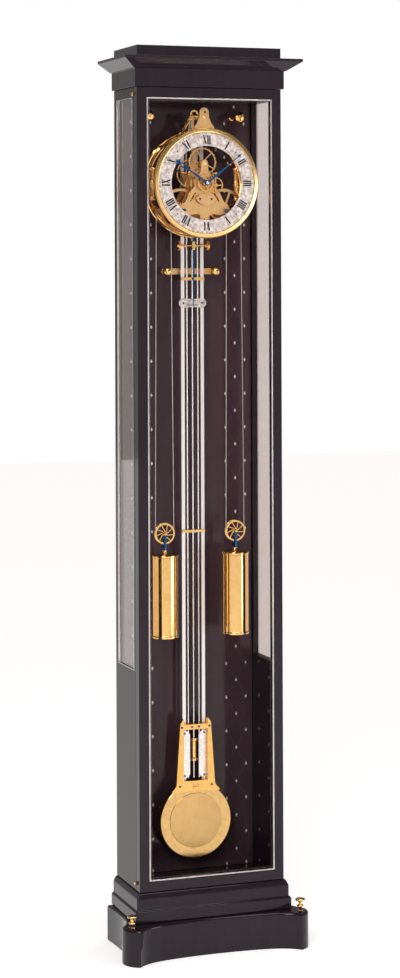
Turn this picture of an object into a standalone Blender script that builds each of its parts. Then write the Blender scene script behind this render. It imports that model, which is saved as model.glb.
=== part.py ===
import math

import bmesh
import bpy

for leftover in list(bpy.data.objects):
    bpy.data.objects.remove(leftover, do_unlink=True)

# All sizes are in metres. Depths run back from the door's face, and rises run up from the dial's centre.

# Clearances
seat_gap = 0.0003
mesh_gap = 0.0004
sides = {"left": -1, "right": 1}
round_sides = 42

# Case
case_width = 0.335
case_depth = 0.1625
side_thickness = 0.014
back_thickness = 0.010
window_front_stile = 0.0105
window_back_stile = 0.018
window_sill = 0.4755
window_head = 0.0215
side_glass_thickness = 0.004
side_glass_inset = 0.003

# Door
door_thickness = 0.022
stile_width = 0.0215
rail_width = 0.0225
bead_width = 0.0037
bead_proud = 0.002
bead_depth = 0.003
door_glass_thickness = 0.005
hinge_inset = 0.016
hinge_height = 0.008
hinge_leaf_length = 0.007
hinge_leaf_thickness = 0.002
knuckle_radius = 0.003

# Plinth, base moulding and levelling screws
plinth_height = 0.0785
plinth_front = 0.0215
plinth_front_hollow = 0.0186
plinth_rear = 0.0225
plinth_side_hollow = 0.004
ear_aside = 0.0041
ear_forward = 0.02203
ear_radius = 0.042
ear_front_crease = math.radians(-70)
ear_rear_crease = math.radians(14)
level_aside = 0.0272
level_forward = 0.029
step_height = 0.0255
step_overhang = 0.0134
step_fall = 0.0015
moulding_height = 0.036
moulding_overhang = 0.0089
moulding_bevel = 0.0113
moulding_top_overhang = 0.0035
screw_radius = 0.004
screw_travel = 0.006
pad_radius = 0.010
pad_thickness = 0.004
knob_radius = 0.0112
knob_collar_radius = 0.0078
knob_stem = 0.023
knob_height = 0.008
knob_chamfer = 0.0015
collar_lift = 0.0022
collar_height = 0.0045

# Cornice and crown
frieze_height = 0.0385
frieze_overhang = 0.0056
cornice_start_overhang = 0.0095
cornice_start_height = 0.0012
cornice_overhang = 0.0381
cornice_slope_height = 0.0193
cornice_fillet_height = 0.006
crown_height = 0.0246

# Dial and hands
dial_drop = 0.2075
chapter_width = 0.0289
chapter_outer_radius = 0.1105
chapter_depth = 0.0195
chapter_thickness = 0.0025
bezel_width = 0.011
bezel_wall = 0.0035
bezel_lip = 0.0012
bezel_chamfer = 0.002
bezel_dome = 0.001
bezel_ledge = 0.0035
bezel_ledge_thickness = 0.0027
bezel_back_depth = 0.0447
minute_hand_depth = 0.0125
minute_hand_length = 0.1043
minute_hand_half_width = 0.0014
minute_cross_reach = 0.0956
minute_cross_half = 0.004
minute_hand_angle = math.radians(51)
hour_hand_depth = 0.0155
hour_hand_length = 0.088
hour_hand_half_width = 0.0020
hour_cross_reach = 0.0735
hour_cross_half = 0.0075
hour_hand_angle = math.radians(304)
hand_thickness = 0.0015
hub_radius = 0.0055
cap_radius = 0.004
cap_chamfer = 0.0015
cap_proud = 0.002
hour_pipe_radius = 0.0042

# Movement plates
front_plate_depth = 0.0335
front_plate_thickness = 0.003
plate_foot = 0.006
plate_foot_half_width = 0.012
plate_upright_half_width = 0.009
plate_lobe = 0.009
plate_sweep = 0.014
plate_slope = 0.002
plate_leg_half_width = 0.0045
plate_slot_aside = 0.010
plate_slot_low = -0.040
plate_slot_margin = 0.010
cock_depth = 0.0345
cock_thickness = 0.003
cock_height = 0.045
cock_foot_half_width = 0.022
cock_top_half_width = 0.010
cock_foot_height = 0.0025
cock_flare_height = 0.010
cock_flare_share = 0.8
cock_neck_height = 0.024
cock_shoulder = 0.006
ring_depth = 0.100
ring_thickness = 0.0065
ring_width = 0.014
ring_inset = 0.0015
bar_half_width = 0.011
bar_recess = 0.0003
standoff_radius = 0.006
standoff_angle = math.radians(27)
dial_post_radius = 0.004
upper_post_angle = math.radians(45)
lower_post_angle = math.radians(-78)
pillar_radius = 0.003
pillar_overlap = 0.002
column_inset = 0.0071
column_half_height = 0.036
column_radius = 0.005
column_collar_radius = 0.0075
column_end_collar = 0.0065
column_middle_collar = 0.0045
suspension_rise = 0.1656
suspension_foot_half_width = 0.027
suspension_strut_width = 0.010
suspension_shoulder_half_width = 0.009
suspension_shoulder_drop = 0.0076
suspension_top_half_width = 0.005
suspension_crotch_drop = 0.005
stud_half_width = 0.005
stud_drop = 0.004
stud_reach = 0.026
line_stud_radius = 0.003
line_stud_angle = math.radians(-28.3)
wall_post_aside = 0.106
wall_post_rise = 0.151
wall_post_radius = 0.004
wall_post_head_radius = 0.0106
wall_post_head_thickness = 0.005
wall_post_chamfer = 0.001
wall_post_depth = 0.0905
guard_rise = -0.1942
guard_aside = 0.0568
guard_ball_radius = 0.009
guard_ball_lead = 0.004
guard_ball_steps = 5
guard_bar_height = 0.015
guard_bar_thickness = 0.004
guard_room = 0.011
guard_post_radius = 0.004

# Going train: where the arbors stand on the plates, aside and up from the dial's centre
arbor_radius = 0.0015
centre_arbor_radius = 0.0025
barrel_arbor_radius = 0.003
escape_rise = 0.047
third_aside = -0.0268
third_rise = 0.0217
intermediate_rise = -0.036
barrel_aside = 0.050
barrel_rise = -0.0595
minute_stud_aside = 0.0242
minute_stud_rise = -0.0045
lower_pillar_rise = -0.082
upper_pillar_aside = 0.0285
great_ratio = 64 / 8
intermediate_ratio = 60 / 8
centre_ratio = 80 / 8
third_ratio = 60 / 10
minute_wheel_ratio = 3
hour_wheel_ratio = 4
wheel_thickness = 0.0022
wheel_rim = 0.0045
wheel_hub_radius = 0.006
wheel_spokes = 5
wheel_spoke_width = 0.003
leaf_overhang = 0.0005
motion_wheel_thickness = 0.0018
hour_wheel_depth = 0.0268
minute_wheel_depth = 0.0300
intermediate_depth = 0.0382
centre_depth = 0.0412
escape_depth = 0.0466
great_depth = 0.0498
third_depth = 0.0558
barrel_front_depth = 0.0560
barrel_back_depth = 0.0880
barrel_flange_radius = 0.0185
barrel_flange_thickness = 0.002
winding_square_depth = 0.0200
escape_radius = 0.0330
escape_teeth = 24
escape_tooth_height = 0.0048
escape_rim = 0.0022
escape_spoke_width = 0.002
escape_spoke_angle = math.radians(43)
great_hub_radius = 0.010
great_spokes = 6
great_spoke_width = 0.005

# Escapement and pendulum
pivot_rise = 0.1455
anchor_reach = 0.0373
anchor_spread = math.radians(51)
anchor_radius = 0.002
anchor_boss = 0.006
anchor_crotch = 0.011
pallet_width = 0.004
pallet_height = 0.009
pallet_shoulder = 0.014
crutch_room = 0.0023
crutch_thickness = 0.0024
crutch_half_width = 0.0022
crutch_eye_radius = 0.0045
crutch_block_half_height = 0.0095
crutch_block_half_width = 0.0038
crutch_block_taper = 0.004
pointer_tip_half_width = 0.0006
pointer_tip_height = 0.002
beat_bar_rise = -0.137
beat_bar_half_length = 0.0375
beat_bar_radius = 0.0015
beat_knob_radius = 0.0098
beat_knob_thickness = 0.006
beat_knob_aside = 0.0341
pointer_tip_rise = -0.2734
pendulum_room = 0.013
pendulum_length = 1.564
bob_room = 0.0364
head_rise = 0.100
head_height = 0.018
head_half_width = 0.029
head_half_depth = 0.006
spring_top_over_pivot = 0.0045
spring_half_width = 0.006
spring_half_thickness = 0.0004
spring_foot_height = 0.006
spring_foot_half_width = 0.009
spring_foot_half_depth = 0.003
spring_foot_taper = 0.001
outer_rod_aside = 0.023
outer_rod_half_width = 0.0040
outer_rod_half_depth = 0.0022
inner_rod_aside = 0.0128
inner_rod_radius = 0.002
centre_rod_radius = 0.002
cross_bar_height = 0.009
cross_bar_half_depth = 0.005
upper_bar_rise = -0.211
lower_bar_rise = -0.774
scale_rise = -0.265
scale_half_width = 0.0323
scale_height = 0.022
scale_thickness = 0.002
bob_radius = 0.0836
bob_face_radius = 0.061
bob_half_thickness = 0.013
bob_edge_half_thickness = 0.0095
bob_step_width = 0.0025
bob_step_fall = 0.0015
bob_travel = 0.002
rod_seat_depth = 0.010
bracket_foot_height = 0.0219
bracket_top_half_width = 0.0365
bracket_waist_half_width = 0.0455
bracket_low_half_width = 0.0567
bracket_flare_height = 0.0168
bracket_lead = 0.011
bracket_lag = 0.005
nut_over_bob = 0.1563
nut_height = 0.0499
nut_radius = 0.0078
nut_waist_radius = 0.0052
nut_flange = 0.010
nut_cone = 0.004
nut_sleeve_radius = 0.0036
nut_headroom = 0.0216
nut_footroom = 0.0424
bracket_bar_height = 0.0122
bracket_window_half_width = 0.0280
bracket_bar_drop = 0.0121
bracket_ear_half_width = 0.0335
bracket_ear_crown = 0.0020
bracket_ear_fall = 0.0064

# Weights and lines
line_depth = 0.073
line_radius = 0.001
line_sides = 2
pulley_aside = 0.083
pulley_drop = 0.772
pulley_line_radius = 0.0215
pulley_radius = 0.0235
pulley_half_width = 0.0045
pulley_groove_half_width = 0.0014
pulley_spokes = 9
pulley_rim = 0.0025
pulley_spoke_width = 0.0022
pulley_web_half_width = 0.0015
pulley_hub_radius = 0.0068
pulley_bore_radius = 0.0023
barrel_line_radius = 0.0155
fork_thickness = 0.0025
fork_half_width = 0.004
strap_half_width = 0.0032
fork_drop = 0.036
fork_bridge = 0.0095
weight_radius = 0.030
weight_height = 0.184
weight_lip = 0.0012
weight_lip_height = 0.008
weight_lip_cone = 0.002
weight_chamfer = 0.003
weight_neck_height = 0.009
weight_neck_radius = 0.004

# Heights above the floor: the pendulum, the dial's place and the room under the bob set the case's height
base_low = plinth_height + seat_gap
case_low = base_low + step_height + step_fall + moulding_height + seat_gap
chapter_inner_radius = chapter_outer_radius - chapter_width
bezel_radius = chapter_outer_radius + bezel_width
ring_outer_radius = bezel_radius - ring_inset
ring_inner_radius = ring_outer_radius - ring_width
column_aside = ring_inner_radius - column_inset
crutch_depth = ring_depth + ring_thickness + crutch_room
pendulum_depth = ring_depth + ring_thickness + pendulum_room
guard_bar_depth = pendulum_depth + guard_room
bracket_front_depth = pendulum_depth - bracket_lead
bracket_back_depth = pendulum_depth + bracket_lag
case_height = dial_drop - pivot_rise + pendulum_length + bob_radius + bob_room
case_high = case_low + case_height
cornice_low = case_high + seat_gap
crown_low = (
    cornice_low + frieze_height + cornice_start_height
    + cornice_slope_height + cornice_fillet_height + seat_gap
)
dial_z = case_high - dial_drop

# The door face that centres the footprint on the origin
half_width = case_width / 2
front_y = (ear_forward - ear_radius * math.sin(ear_front_crease) - case_depth) / 2
back_y = front_y + case_depth

lacquer = (0.050, 0.036, 0.040), 0.22, 0.0
brass = (0.780, 0.500, 0.200), 0.28, 1.0
satin_brass = (0.720, 0.470, 0.230), 0.42, 1.0
silvered = (0.640, 0.600, 0.570), 0.45, 0.8
steel = (0.620, 0.600, 0.580), 0.25, 1.0
blued_steel = (0.015, 0.070, 0.190), 0.25, 1.0
glass = (0.900, 0.940, 0.930), 0.05, 0.0
gut = (0.560, 0.440, 0.300), 0.60, 0.0


def deep(depth):
    """Y of a point that lies so far behind the door's face."""
    return front_y + depth


def rise(height):
    """Z of a point that lies so far above the dial's centre."""
    return dial_z + height


def box(low, high):
    bm = bmesh.new()
    bmesh.ops.create_cube(bm, size=1.0)
    for vert in bm.verts:
        vert.co = [low[i] + (vert.co[i] + 0.5) * (high[i] - low[i]) for i in range(3)]
    return bm


def loft(loops):
    """Closed solid through loops of as many points each, flat at both ends."""
    bm = bmesh.new()
    rings = [[bm.verts.new(point) for point in loop] for loop in loops]
    for ring, following in zip(rings, rings[1:]):
        for i in range(len(ring)):
            bm.faces.new((ring[i - 1], ring[i], following[i], following[i - 1]))
    bm.faces.new(rings[0])
    bm.faces.new(rings[-1])
    bmesh.ops.recalc_face_normals(bm, faces=bm.faces)
    return bm


def along(axis, u, v, w):
    """Point with u and v across the axis and w on it."""
    return {"X": (w, u, v), "Y": (u, w, v), "Z": (u, v, w)}[axis]


def circle(radius, count, centre=(0.0, 0.0), start=0.0, end=2 * math.pi):
    """Points on an arc; a whole turn doesn't repeat its first point."""
    steps = count if abs(end - start - 2 * math.pi) < 1e-9 else count - 1
    angles = [start + (end - start) * i / steps for i in range(count)]
    return [(centre[0] + radius * math.cos(a), centre[1] + radius * math.sin(a)) for a in angles]


def turned(axis, centre, profile, count=24, bored=False):
    """Solid turned about an axis from (radius, place) pairs; a bored one's profile closes on itself."""
    bm = bmesh.new()
    rings = []
    for radius, place in profile:
        spots = circle(radius, count, centre) if radius > 0 else [centre]
        rings.append([bm.verts.new(along(axis, u, v, place)) for u, v in spots])
    if bored:
        rings.append(rings[0])
    for ring, following in zip(rings, rings[1:]):
        for i in range(count):
            if len(ring) == 1:
                corners = [ring[0], following[i], following[i - 1]]
            elif len(following) == 1:
                corners = [ring[i - 1], ring[i], following[0]]
            else:
                corners = [ring[i - 1], ring[i], following[i], following[i - 1]]
            bm.faces.new(corners)
    if not bored:
        for ring in (rings[0], rings[-1]):
            if len(ring) > 1:
                bm.faces.new(ring)
    bmesh.ops.recalc_face_normals(bm, faces=bm.faces)
    return bm


def rod(axis, centre, radius, low, high, count=16):
    return turned(axis, centre, [(radius, low), (radius, high)], count)


def slab(axis, loops, low, high):
    """Flat piece cut to the first loop, with the other loops cut out of it."""
    curve = bpy.data.curves.new("outline", "CURVE")
    curve.dimensions = "2D"
    curve.fill_mode = "BOTH"
    curve.extrude = 0.5
    for loop in loops:
        spline = curve.splines.new("POLY")
        spline.points.add(len(loop) - 1)
        for point, (u, v) in zip(spline.points, loop):
            point.co = (u, v, 0.0, 1.0)
        spline.use_cyclic_u = True
    holder = bpy.data.objects.new("outline", curve)
    mesh = bpy.data.meshes.new_from_object(holder)
    bm = bmesh.new()
    bm.from_mesh(mesh)
    bpy.data.objects.remove(holder)
    bpy.data.curves.remove(curve)
    bpy.data.meshes.remove(mesh)
    for vert in bm.verts:
        u, v, w = vert.co
        vert.co = along(axis, u, v, low + (w + 0.5) * (high - low))
    bmesh.ops.remove_doubles(bm, verts=bm.verts, dist=1e-6)
    bmesh.ops.recalc_face_normals(bm, faces=bm.faces)
    return bm


def loose(bm):
    mesh = bpy.data.meshes.new("body")
    bm.to_mesh(mesh)
    bm.free()
    holder = bpy.data.objects.new("body", mesh)
    bpy.context.scene.collection.objects.link(holder)
    return holder


def combined(first, others, operation="UNION"):
    """The first body with the others joined to it, or cut from it."""
    base = loose(first)
    tools = [loose(other) for other in others]
    for tool in tools:
        step = base.modifiers.new("step", "BOOLEAN")
        step.operation = operation
        step.solver = "EXACT"
        step.object = tool
    result = bmesh.new()
    result.from_object(base, bpy.context.evaluated_depsgraph_get())
    for holder in (base, *tools):
        mesh = holder.data
        bpy.data.objects.remove(holder)
        bpy.data.meshes.remove(mesh)
    return result


def rectangle(low, high):
    return [(low[0], low[1]), (high[0], low[1]), (high[0], high[1]), (low[0], high[1])]


def mirrored(half):
    """A closed outline from its right half, listed from one end of the middle line to the other."""
    return half + [(-u, v) for u, v in reversed(half) if u > 1e-9]


def joint_empty(name, place, parent=None):
    """Marks a joint's axis; what turns or slides there is parented to it."""
    empty = bpy.data.objects.new(name, None)
    empty.empty_display_size = 0.02
    bpy.context.scene.collection.objects.link(empty)
    empty.location = place
    if parent:
        empty.parent = parent
        empty.location = [a - b for a, b in zip(place, origin_of(parent))]
    return empty


def origin_of(empty):
    place = empty.location.copy()
    if empty.parent:
        place += origin_of(empty.parent)
    return place


def dressed(name, data, look, pivot):
    """Named object with its own material, hung on its joint's empty if it moves."""
    colour, roughness, metallic = look
    material = bpy.data.materials.new(name)
    material.use_nodes = True
    shader = material.node_tree.nodes["Principled BSDF"]
    shader.inputs["Base Color"].default_value = (*colour, 1.0)
    shader.inputs["Roughness"].default_value = roughness
    shader.inputs["Metallic"].default_value = metallic
    data.materials.append(material)
    node = bpy.data.objects.new(name, data)
    bpy.context.scene.collection.objects.link(node)
    if pivot:
        node.parent = pivot
    return node


def piece(name, bm, look, pivot=None):
    if pivot:
        bmesh.ops.translate(bm, verts=bm.verts, vec=-origin_of(pivot))
    mesh = bpy.data.meshes.new(name)
    bm.to_mesh(mesh)
    bm.free()
    mesh.shade_smooth()
    mesh.set_sharp_from_angle(angle=math.radians(35))
    return dressed(name, mesh, look, pivot)


def case_loop(overhang, z):
    """The case's footprint grown at the front and sides, flush at the back."""
    low = (-half_width - overhang, front_y - overhang)
    return [(u, v, z) for u, v in rectangle(low, (half_width + overhang, back_y))]


# Plinth: hollow front and sides between ears that carry the levelling screws
def level_place(side):
    return side * (half_width + level_aside), deep(-level_forward)


def plinth_outline():
    ear_centre = half_width + ear_aside, deep(-ear_forward)
    ear = circle(ear_radius, 16, ear_centre, ear_front_crease, ear_rear_crease)
    crease_x, crease_y = ear[0]
    middle_y = deep(-plinth_front)
    cove = middle_y - plinth_front_hollow - crease_y
    half = []
    for share in (0.0, 0.25, 0.5, 0.68, 0.8, 0.88, 0.93, 0.97):
        dip = plinth_front_hollow * share**2 + cove * share**8
        half.append((crease_x * share, middle_y - dip))
    half += ear
    rear_x = half_width + plinth_rear
    last_x, last_y = ear[-1]
    for share in (0.96, 0.91, 0.85, 0.77, 0.6, 0.4, 0.2, 0.0):
        hollow = plinth_side_hollow * 4 * share * (1 - share)
        out = (last_x - rear_x) * share**7
        half.append((rear_x - hollow + out, back_y + (last_y - back_y) * share))
    return mirrored(half)


recess_depth = pad_thickness + 2 * seat_gap
screw_cutters = []
for side in sides.values():
    steps = [
        (pad_radius + seat_gap, -plinth_height),
        (pad_radius + seat_gap, recess_depth),
        (screw_radius + seat_gap, recess_depth),
        (screw_radius + seat_gap, 2 * plinth_height),
    ]
    screw_cutters.append(turned("Z", level_place(side), steps, 20))
plinth = combined(slab("Z", [plinth_outline()], 0.0, plinth_height), screw_cutters, "DIFFERENCE")
piece("plinth", plinth, lacquer)

for label, side in sides.items():
    level_x, level_y = level_place(side)
    travel = joint_empty(f"level_travel_{label}", (level_x, level_y, seat_gap))
    turn = joint_empty(f"level_turn_{label}", (level_x, level_y, plinth_height), travel)
    pad = rod("Z", (level_x, level_y), pad_radius, seat_gap, seat_gap + pad_thickness, 20)
    piece(f"level_pad_{label}", pad, steel, travel)
    collar_z = plinth_height + screw_travel + collar_lift
    disc_z = plinth_height + seat_gap + knob_stem
    top_z = disc_z + knob_height
    knob = [
        (screw_radius, 2 * seat_gap + pad_thickness),
        (screw_radius, collar_z),
        (knob_collar_radius, collar_z),
        (knob_collar_radius, collar_z + collar_height),
        (screw_radius, collar_z + collar_height + knob_chamfer),
        (screw_radius, disc_z),
        (knob_radius, disc_z + knob_chamfer),
        (knob_radius, top_z - knob_chamfer),
        (knob_radius - knob_chamfer, top_z),
    ]
    piece(f"level_screw_{label}", turned("Z", (level_x, level_y), knob, 16), brass, turn)

# Case: base moulding, panels, glass, cornice and crown
step_high = base_low + step_height
moulding_low = step_high + step_fall
moulding_high = moulding_low + moulding_height
base_loops = [
    case_loop(step_overhang, base_low),
    case_loop(step_overhang, step_high),
    case_loop(moulding_overhang, moulding_low),
    case_loop(moulding_overhang, moulding_high - moulding_bevel),
    case_loop(moulding_top_overhang, moulding_high),
]
piece("base_moulding", loft(base_loops), lacquer)

panel_front = deep(door_thickness + seat_gap)
window_low = (panel_front + window_front_stile, case_low + window_sill)
window_high = (back_y - window_back_stile, case_high - window_head)
inner_half_width = half_width - side_thickness
for label, side in sides.items():
    panel = [rectangle((panel_front, case_low), (back_y, case_high)), rectangle(window_low, window_high)]
    low, high = sorted((side * inner_half_width, side * half_width))
    piece(f"side_panel_{label}", slab("X", panel, low, high), lacquer)
    outer = half_width - side_glass_inset
    low, high = sorted((side * (outer - side_glass_thickness), side * outer))
    pane_low = (low, window_low[0] + seat_gap, window_low[1] + seat_gap)
    pane_high = (high, window_high[0] - seat_gap, window_high[1] - seat_gap)
    piece(f"side_glass_{label}", box(pane_low, pane_high), glass)

back_half_width = inner_half_width - seat_gap
back_face_depth = case_depth - back_thickness
back_low = (-back_half_width, deep(back_face_depth), case_low)
piece("back_panel", box(back_low, (back_half_width, back_y, case_high)), lacquer)

frieze_high = cornice_low + frieze_height
slope_low = frieze_high + cornice_start_height
fillet_low = slope_low + cornice_slope_height
cornice_loops = [
    case_loop(frieze_overhang, cornice_low),
    case_loop(frieze_overhang, frieze_high),
    case_loop(cornice_start_overhang, slope_low),
    case_loop(cornice_overhang, fillet_low),
    case_loop(cornice_overhang, fillet_low + cornice_fillet_height),
]
piece("cornice", loft(cornice_loops), lacquer)
crown_high = (half_width, back_y, crown_low + crown_height)
piece("crown_block", box((-half_width, front_y, crown_low), crown_high), lacquer)

# Door: frame, steel bead and glass, turning on knuckles outside the left seam
hinge_x = -(half_width + seat_gap + knuckle_radius)
hinge_y = deep(door_thickness + seat_gap / 2)
door_low = case_low + seat_gap
door_high = case_high - seat_gap
door_pivot = joint_empty("door_hinge", (hinge_x, hinge_y, door_low))
light_low = (-half_width + stile_width, door_low + rail_width)
light_high = (half_width - stile_width, door_high - rail_width)


def grown(low, high, by):
    """Rectangle grown on all sides."""
    return rectangle([a - by for a in low], [b + by for b in high])


frame_loops = [
    rectangle((-half_width, door_low), (half_width, door_high)),
    rectangle(light_low, light_high),
]
piece("door_frame", slab("Y", frame_loops, front_y, deep(door_thickness)), lacquer, door_pivot)
bead_loops = [grown(light_low, light_high, -seat_gap), grown(light_low, light_high, -bead_width)]
piece("door_trim", slab("Y", bead_loops, deep(-bead_proud), deep(bead_depth)), steel, door_pivot)
pane_front = bead_depth + seat_gap
pane = slab("Y", [bead_loops[0]], deep(pane_front), deep(pane_front + door_glass_thickness))
piece("door_glass", pane, glass, door_pivot)

for label, z in {"upper": door_high - hinge_inset, "lower": door_low + hinge_inset}.items():
    low_z, high_z = z - hinge_height / 2, z + hinge_height / 2
    inner_x = -(half_width + seat_gap)
    leaf_low = (inner_x - hinge_leaf_thickness, hinge_y, low_z + hinge_height / 6)
    leaf = box(leaf_low, (inner_x, hinge_y + hinge_leaf_length, high_z - hinge_height / 6))
    knuckle = rod("Z", (hinge_x, hinge_y), knuckle_radius, low_z, high_z)
    piece(f"hinge_{label}", combined(knuckle, [leaf]), brass)

# Rear frame: ring, back bars, turned columns, suspension bracket, posts and pillars in one carrier
ring_back = ring_depth + ring_thickness
ring_middle_radius = (ring_inner_radius + ring_outer_radius) / 2
post_ring_radius = bezel_radius - bezel_wall / 2 - dial_post_radius


def dial_spot(radius, angle):
    return radius * math.cos(angle), rise(radius * math.sin(angle))


def spot(aside, up):
    return aside, rise(up)


def circle_at(centre, radius, count):
    return circle(radius, count, centre)


ring_loops = [
    circle_at(spot(0, 0), ring_outer_radius, round_sides),
    circle_at(spot(0, 0), ring_inner_radius, round_sides),
]
ring = slab("Y", ring_loops, deep(ring_depth), deep(ring_back))
bar_front = deep(ring_depth + bar_recess)
bar_back = deep(ring_back - bar_recess)
barrel_bar_reach = math.sqrt(ring_middle_radius**2 - barrel_rise**2)
third_arm_reach = third_aside - bar_half_width
additions = [
    box(
        (-bar_half_width, bar_front, rise(-ring_middle_radius)),
        (bar_half_width, bar_back, rise(ring_middle_radius)),
    ),
    box(
        (-barrel_bar_reach, bar_front + bar_recess, rise(barrel_rise - bar_half_width)),
        (barrel_bar_reach, bar_back - bar_recess, rise(barrel_rise + bar_half_width)),
    ),
    box(
        (third_arm_reach, bar_front + bar_recess, rise(third_rise - bar_half_width)),
        (-third_arm_reach, bar_back - bar_recess, rise(third_rise + bar_half_width)),
    ),
]
suspension_half = [
    (suspension_top_half_width, rise(pivot_rise - suspension_crotch_drop)),
    (suspension_foot_half_width - suspension_strut_width, rise(ring_inner_radius)),
    (suspension_foot_half_width, rise(ring_inner_radius)),
    (suspension_shoulder_half_width, rise(suspension_rise - suspension_shoulder_drop)),
    (suspension_top_half_width, rise(suspension_rise)),
]
arbor_hole = circle_at(spot(0, pivot_rise), anchor_radius + seat_gap, 16)
suspension = slab("Y", [mirrored(suspension_half), arbor_hole], bar_front, bar_back)
spring_top = pivot_rise + spring_top_over_pivot
stud_low = (-stud_half_width, deep(ring_depth + 3 * bar_recess), rise(spring_top + 2 * seat_gap))
stud_high = (stud_half_width, deep(ring_depth + stud_reach), rise(suspension_rise - stud_drop))
additions += [suspension, box(stud_low, stud_high)]
collar_cone = (column_collar_radius - column_radius) / 2
half_column = [
    (column_collar_radius, column_half_height),
    (column_collar_radius, column_half_height - column_end_collar),
    (column_radius, column_half_height - column_end_collar - collar_cone),
    (column_radius, column_middle_collar / 2 + collar_cone),
    (column_collar_radius, column_middle_collar / 2),
]
column_profile = [(radius, -place) for radius, place in half_column] + list(reversed(half_column))
pillar_end = deep(ring_depth + pillar_overlap)
for side in sides.values():
    turning = [(radius, rise(place)) for radius, place in column_profile]
    additions.append(turned("Z", (side * column_aside, deep(ring_depth + ring_thickness / 2)), turning, 12))
    for up in (1, -1):
        x, z = dial_spot(ring_middle_radius, up * standoff_angle)
        start = deep(ring_back - pillar_overlap)
        end = deep(back_face_depth - seat_gap)
        additions.append(rod("Y", (side * x, z), standoff_radius, start, end, 12))
    for angle in (upper_post_angle, lower_post_angle):
        x, z = dial_spot(post_ring_radius, angle)
        start = deep(bezel_back_depth + seat_gap)
        additions.append(rod("Y", (side * x, z), dial_post_radius, start, pillar_end, 12))
    x, z = dial_spot(ring_middle_radius, line_stud_angle)
    start = deep(line_depth - 2 * line_stud_radius)
    additions.append(rod("Y", (side * x, z), line_stud_radius, start, pillar_end, 12))
plate_back = front_plate_depth + front_plate_thickness
for place in (spot(0, lower_pillar_rise), spot(upper_pillar_aside, third_rise)):
    additions.append(rod("Y", place, pillar_radius, deep(plate_back + seat_gap), pillar_end, 12))
piece("rear_frame", combined(ring, additions), satin_brass)

for label, side in sides.items():
    back = back_face_depth - seat_gap
    shank = wall_post_depth + wall_post_head_thickness
    post = [
        (wall_post_head_radius - wall_post_chamfer, deep(wall_post_depth)),
        (wall_post_head_radius, deep(wall_post_depth + wall_post_chamfer)),
        (wall_post_head_radius, deep(shank)),
        (wall_post_radius, deep(shank)),
        (wall_post_radius, deep(back)),
    ]
    turning = turned("Y", spot(side * wall_post_aside, wall_post_rise), post, 16)
    piece(f"wall_post_{label}", turning, brass)

ball_depth = guard_bar_depth + guard_bar_thickness / 2 - guard_ball_lead
guard_bar_back = guard_bar_depth + guard_bar_thickness
guard_low = (-guard_aside, deep(guard_bar_depth), rise(guard_rise - guard_bar_height / 2))
guard_high = (guard_aside, deep(guard_bar_back), rise(guard_rise + guard_bar_height / 2))
guard_ends = []
for side in sides.values():
    ball = [(0.0, deep(ball_depth - guard_ball_radius))]
    last_angle = math.pi - math.asin(guard_post_radius / guard_ball_radius)
    for i in range(1, guard_ball_steps + 1):
        angle = last_angle * i / guard_ball_steps
        along_post = ball_depth - guard_ball_radius * math.cos(angle)
        ball.append((guard_ball_radius * math.sin(angle), deep(along_post)))
    ball.append((guard_post_radius, deep(back_face_depth - seat_gap)))
    guard_ends.append(turned("Y", spot(side * guard_aside, guard_rise), ball, 12))
piece("guard_bar", combined(box(guard_low, guard_high), guard_ends), brass)

# Front plate, pallet cock, bezel and chapter ring
plate_waist = minute_stud_aside + plate_leg_half_width
plate_half = [
    (0.0, lower_pillar_rise - plate_foot),
    (plate_foot_half_width, lower_pillar_rise - plate_foot + plate_slope),
    (plate_foot_half_width, barrel_rise - plate_sweep),
    (barrel_aside - plate_lobe, barrel_rise - plate_lobe - plate_slope),
    (barrel_aside, barrel_rise - plate_lobe),
    (barrel_aside + plate_lobe, barrel_rise),
    (barrel_aside + plate_foot, barrel_rise + plate_lobe),
    (plate_waist, barrel_rise + plate_sweep),
    (plate_waist, third_rise - plate_foot - plate_slope),
    (upper_pillar_aside + plate_foot, third_rise - plate_foot),
    (upper_pillar_aside + plate_foot, third_rise + plate_foot),
    (bar_half_width, third_rise + plate_lobe),
    (plate_upright_half_width, escape_rise),
    (plate_foot, escape_rise + plate_foot),
    (0.0, escape_rise + plate_lobe),
]
plate_outline = mirrored([spot(u, v) for u, v in plate_half])
plate_holes = [circle_at(spot(0, 0), hour_pipe_radius + seat_gap, 16)]
for side in sides.values():
    barrel_hole = circle_at(spot(side * barrel_aside, barrel_rise), barrel_arbor_radius + seat_gap, 16)
    plate_holes.append(barrel_hole)
    outer = minute_stud_aside - plate_leg_half_width
    slot = rectangle((plate_slot_aside, plate_slot_low), (outer, third_rise - plate_slot_margin))
    plate_holes.append([spot(side * u, v) for u, v in slot])
front_plate = slab("Y", [plate_outline] + plate_holes, deep(front_plate_depth), deep(plate_back))
stud_spot = spot(minute_stud_aside, minute_stud_rise)
stud_front = hour_wheel_depth - leaf_overhang
stud_back = front_plate_depth + front_plate_thickness / 2
stud = rod("Y", stud_spot, arbor_radius, deep(stud_front), deep(stud_back), 12)
piece("front_plate", combined(front_plate, [stud]), satin_brass)

cock_foot = bezel_radius + seat_gap
cock_half = [
    (cock_foot_half_width, math.sqrt(cock_foot**2 - cock_foot_half_width**2) + cock_foot_height),
    (cock_foot_half_width * cock_flare_share, cock_foot + cock_flare_height),
    (cock_top_half_width, cock_foot + cock_neck_height),
    (cock_top_half_width, cock_foot + cock_height - cock_shoulder),
    (cock_top_half_width - cock_shoulder, cock_foot + cock_height),
]
foot_reach = math.asin(cock_foot_half_width / cock_foot)
foot = circle(cock_foot, 9, (0.0, 0.0), math.pi / 2 + foot_reach, math.pi / 2 - foot_reach)
cock_outline = foot + cock_half + [(-u, v) for u, v in reversed(cock_half)]
cock_loop = [spot(u, v) for u, v in cock_outline]
front_cock = slab("Y", [cock_loop], deep(cock_depth), deep(cock_depth + cock_thickness))
piece("front_cock", front_cock, satin_brass)

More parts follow.
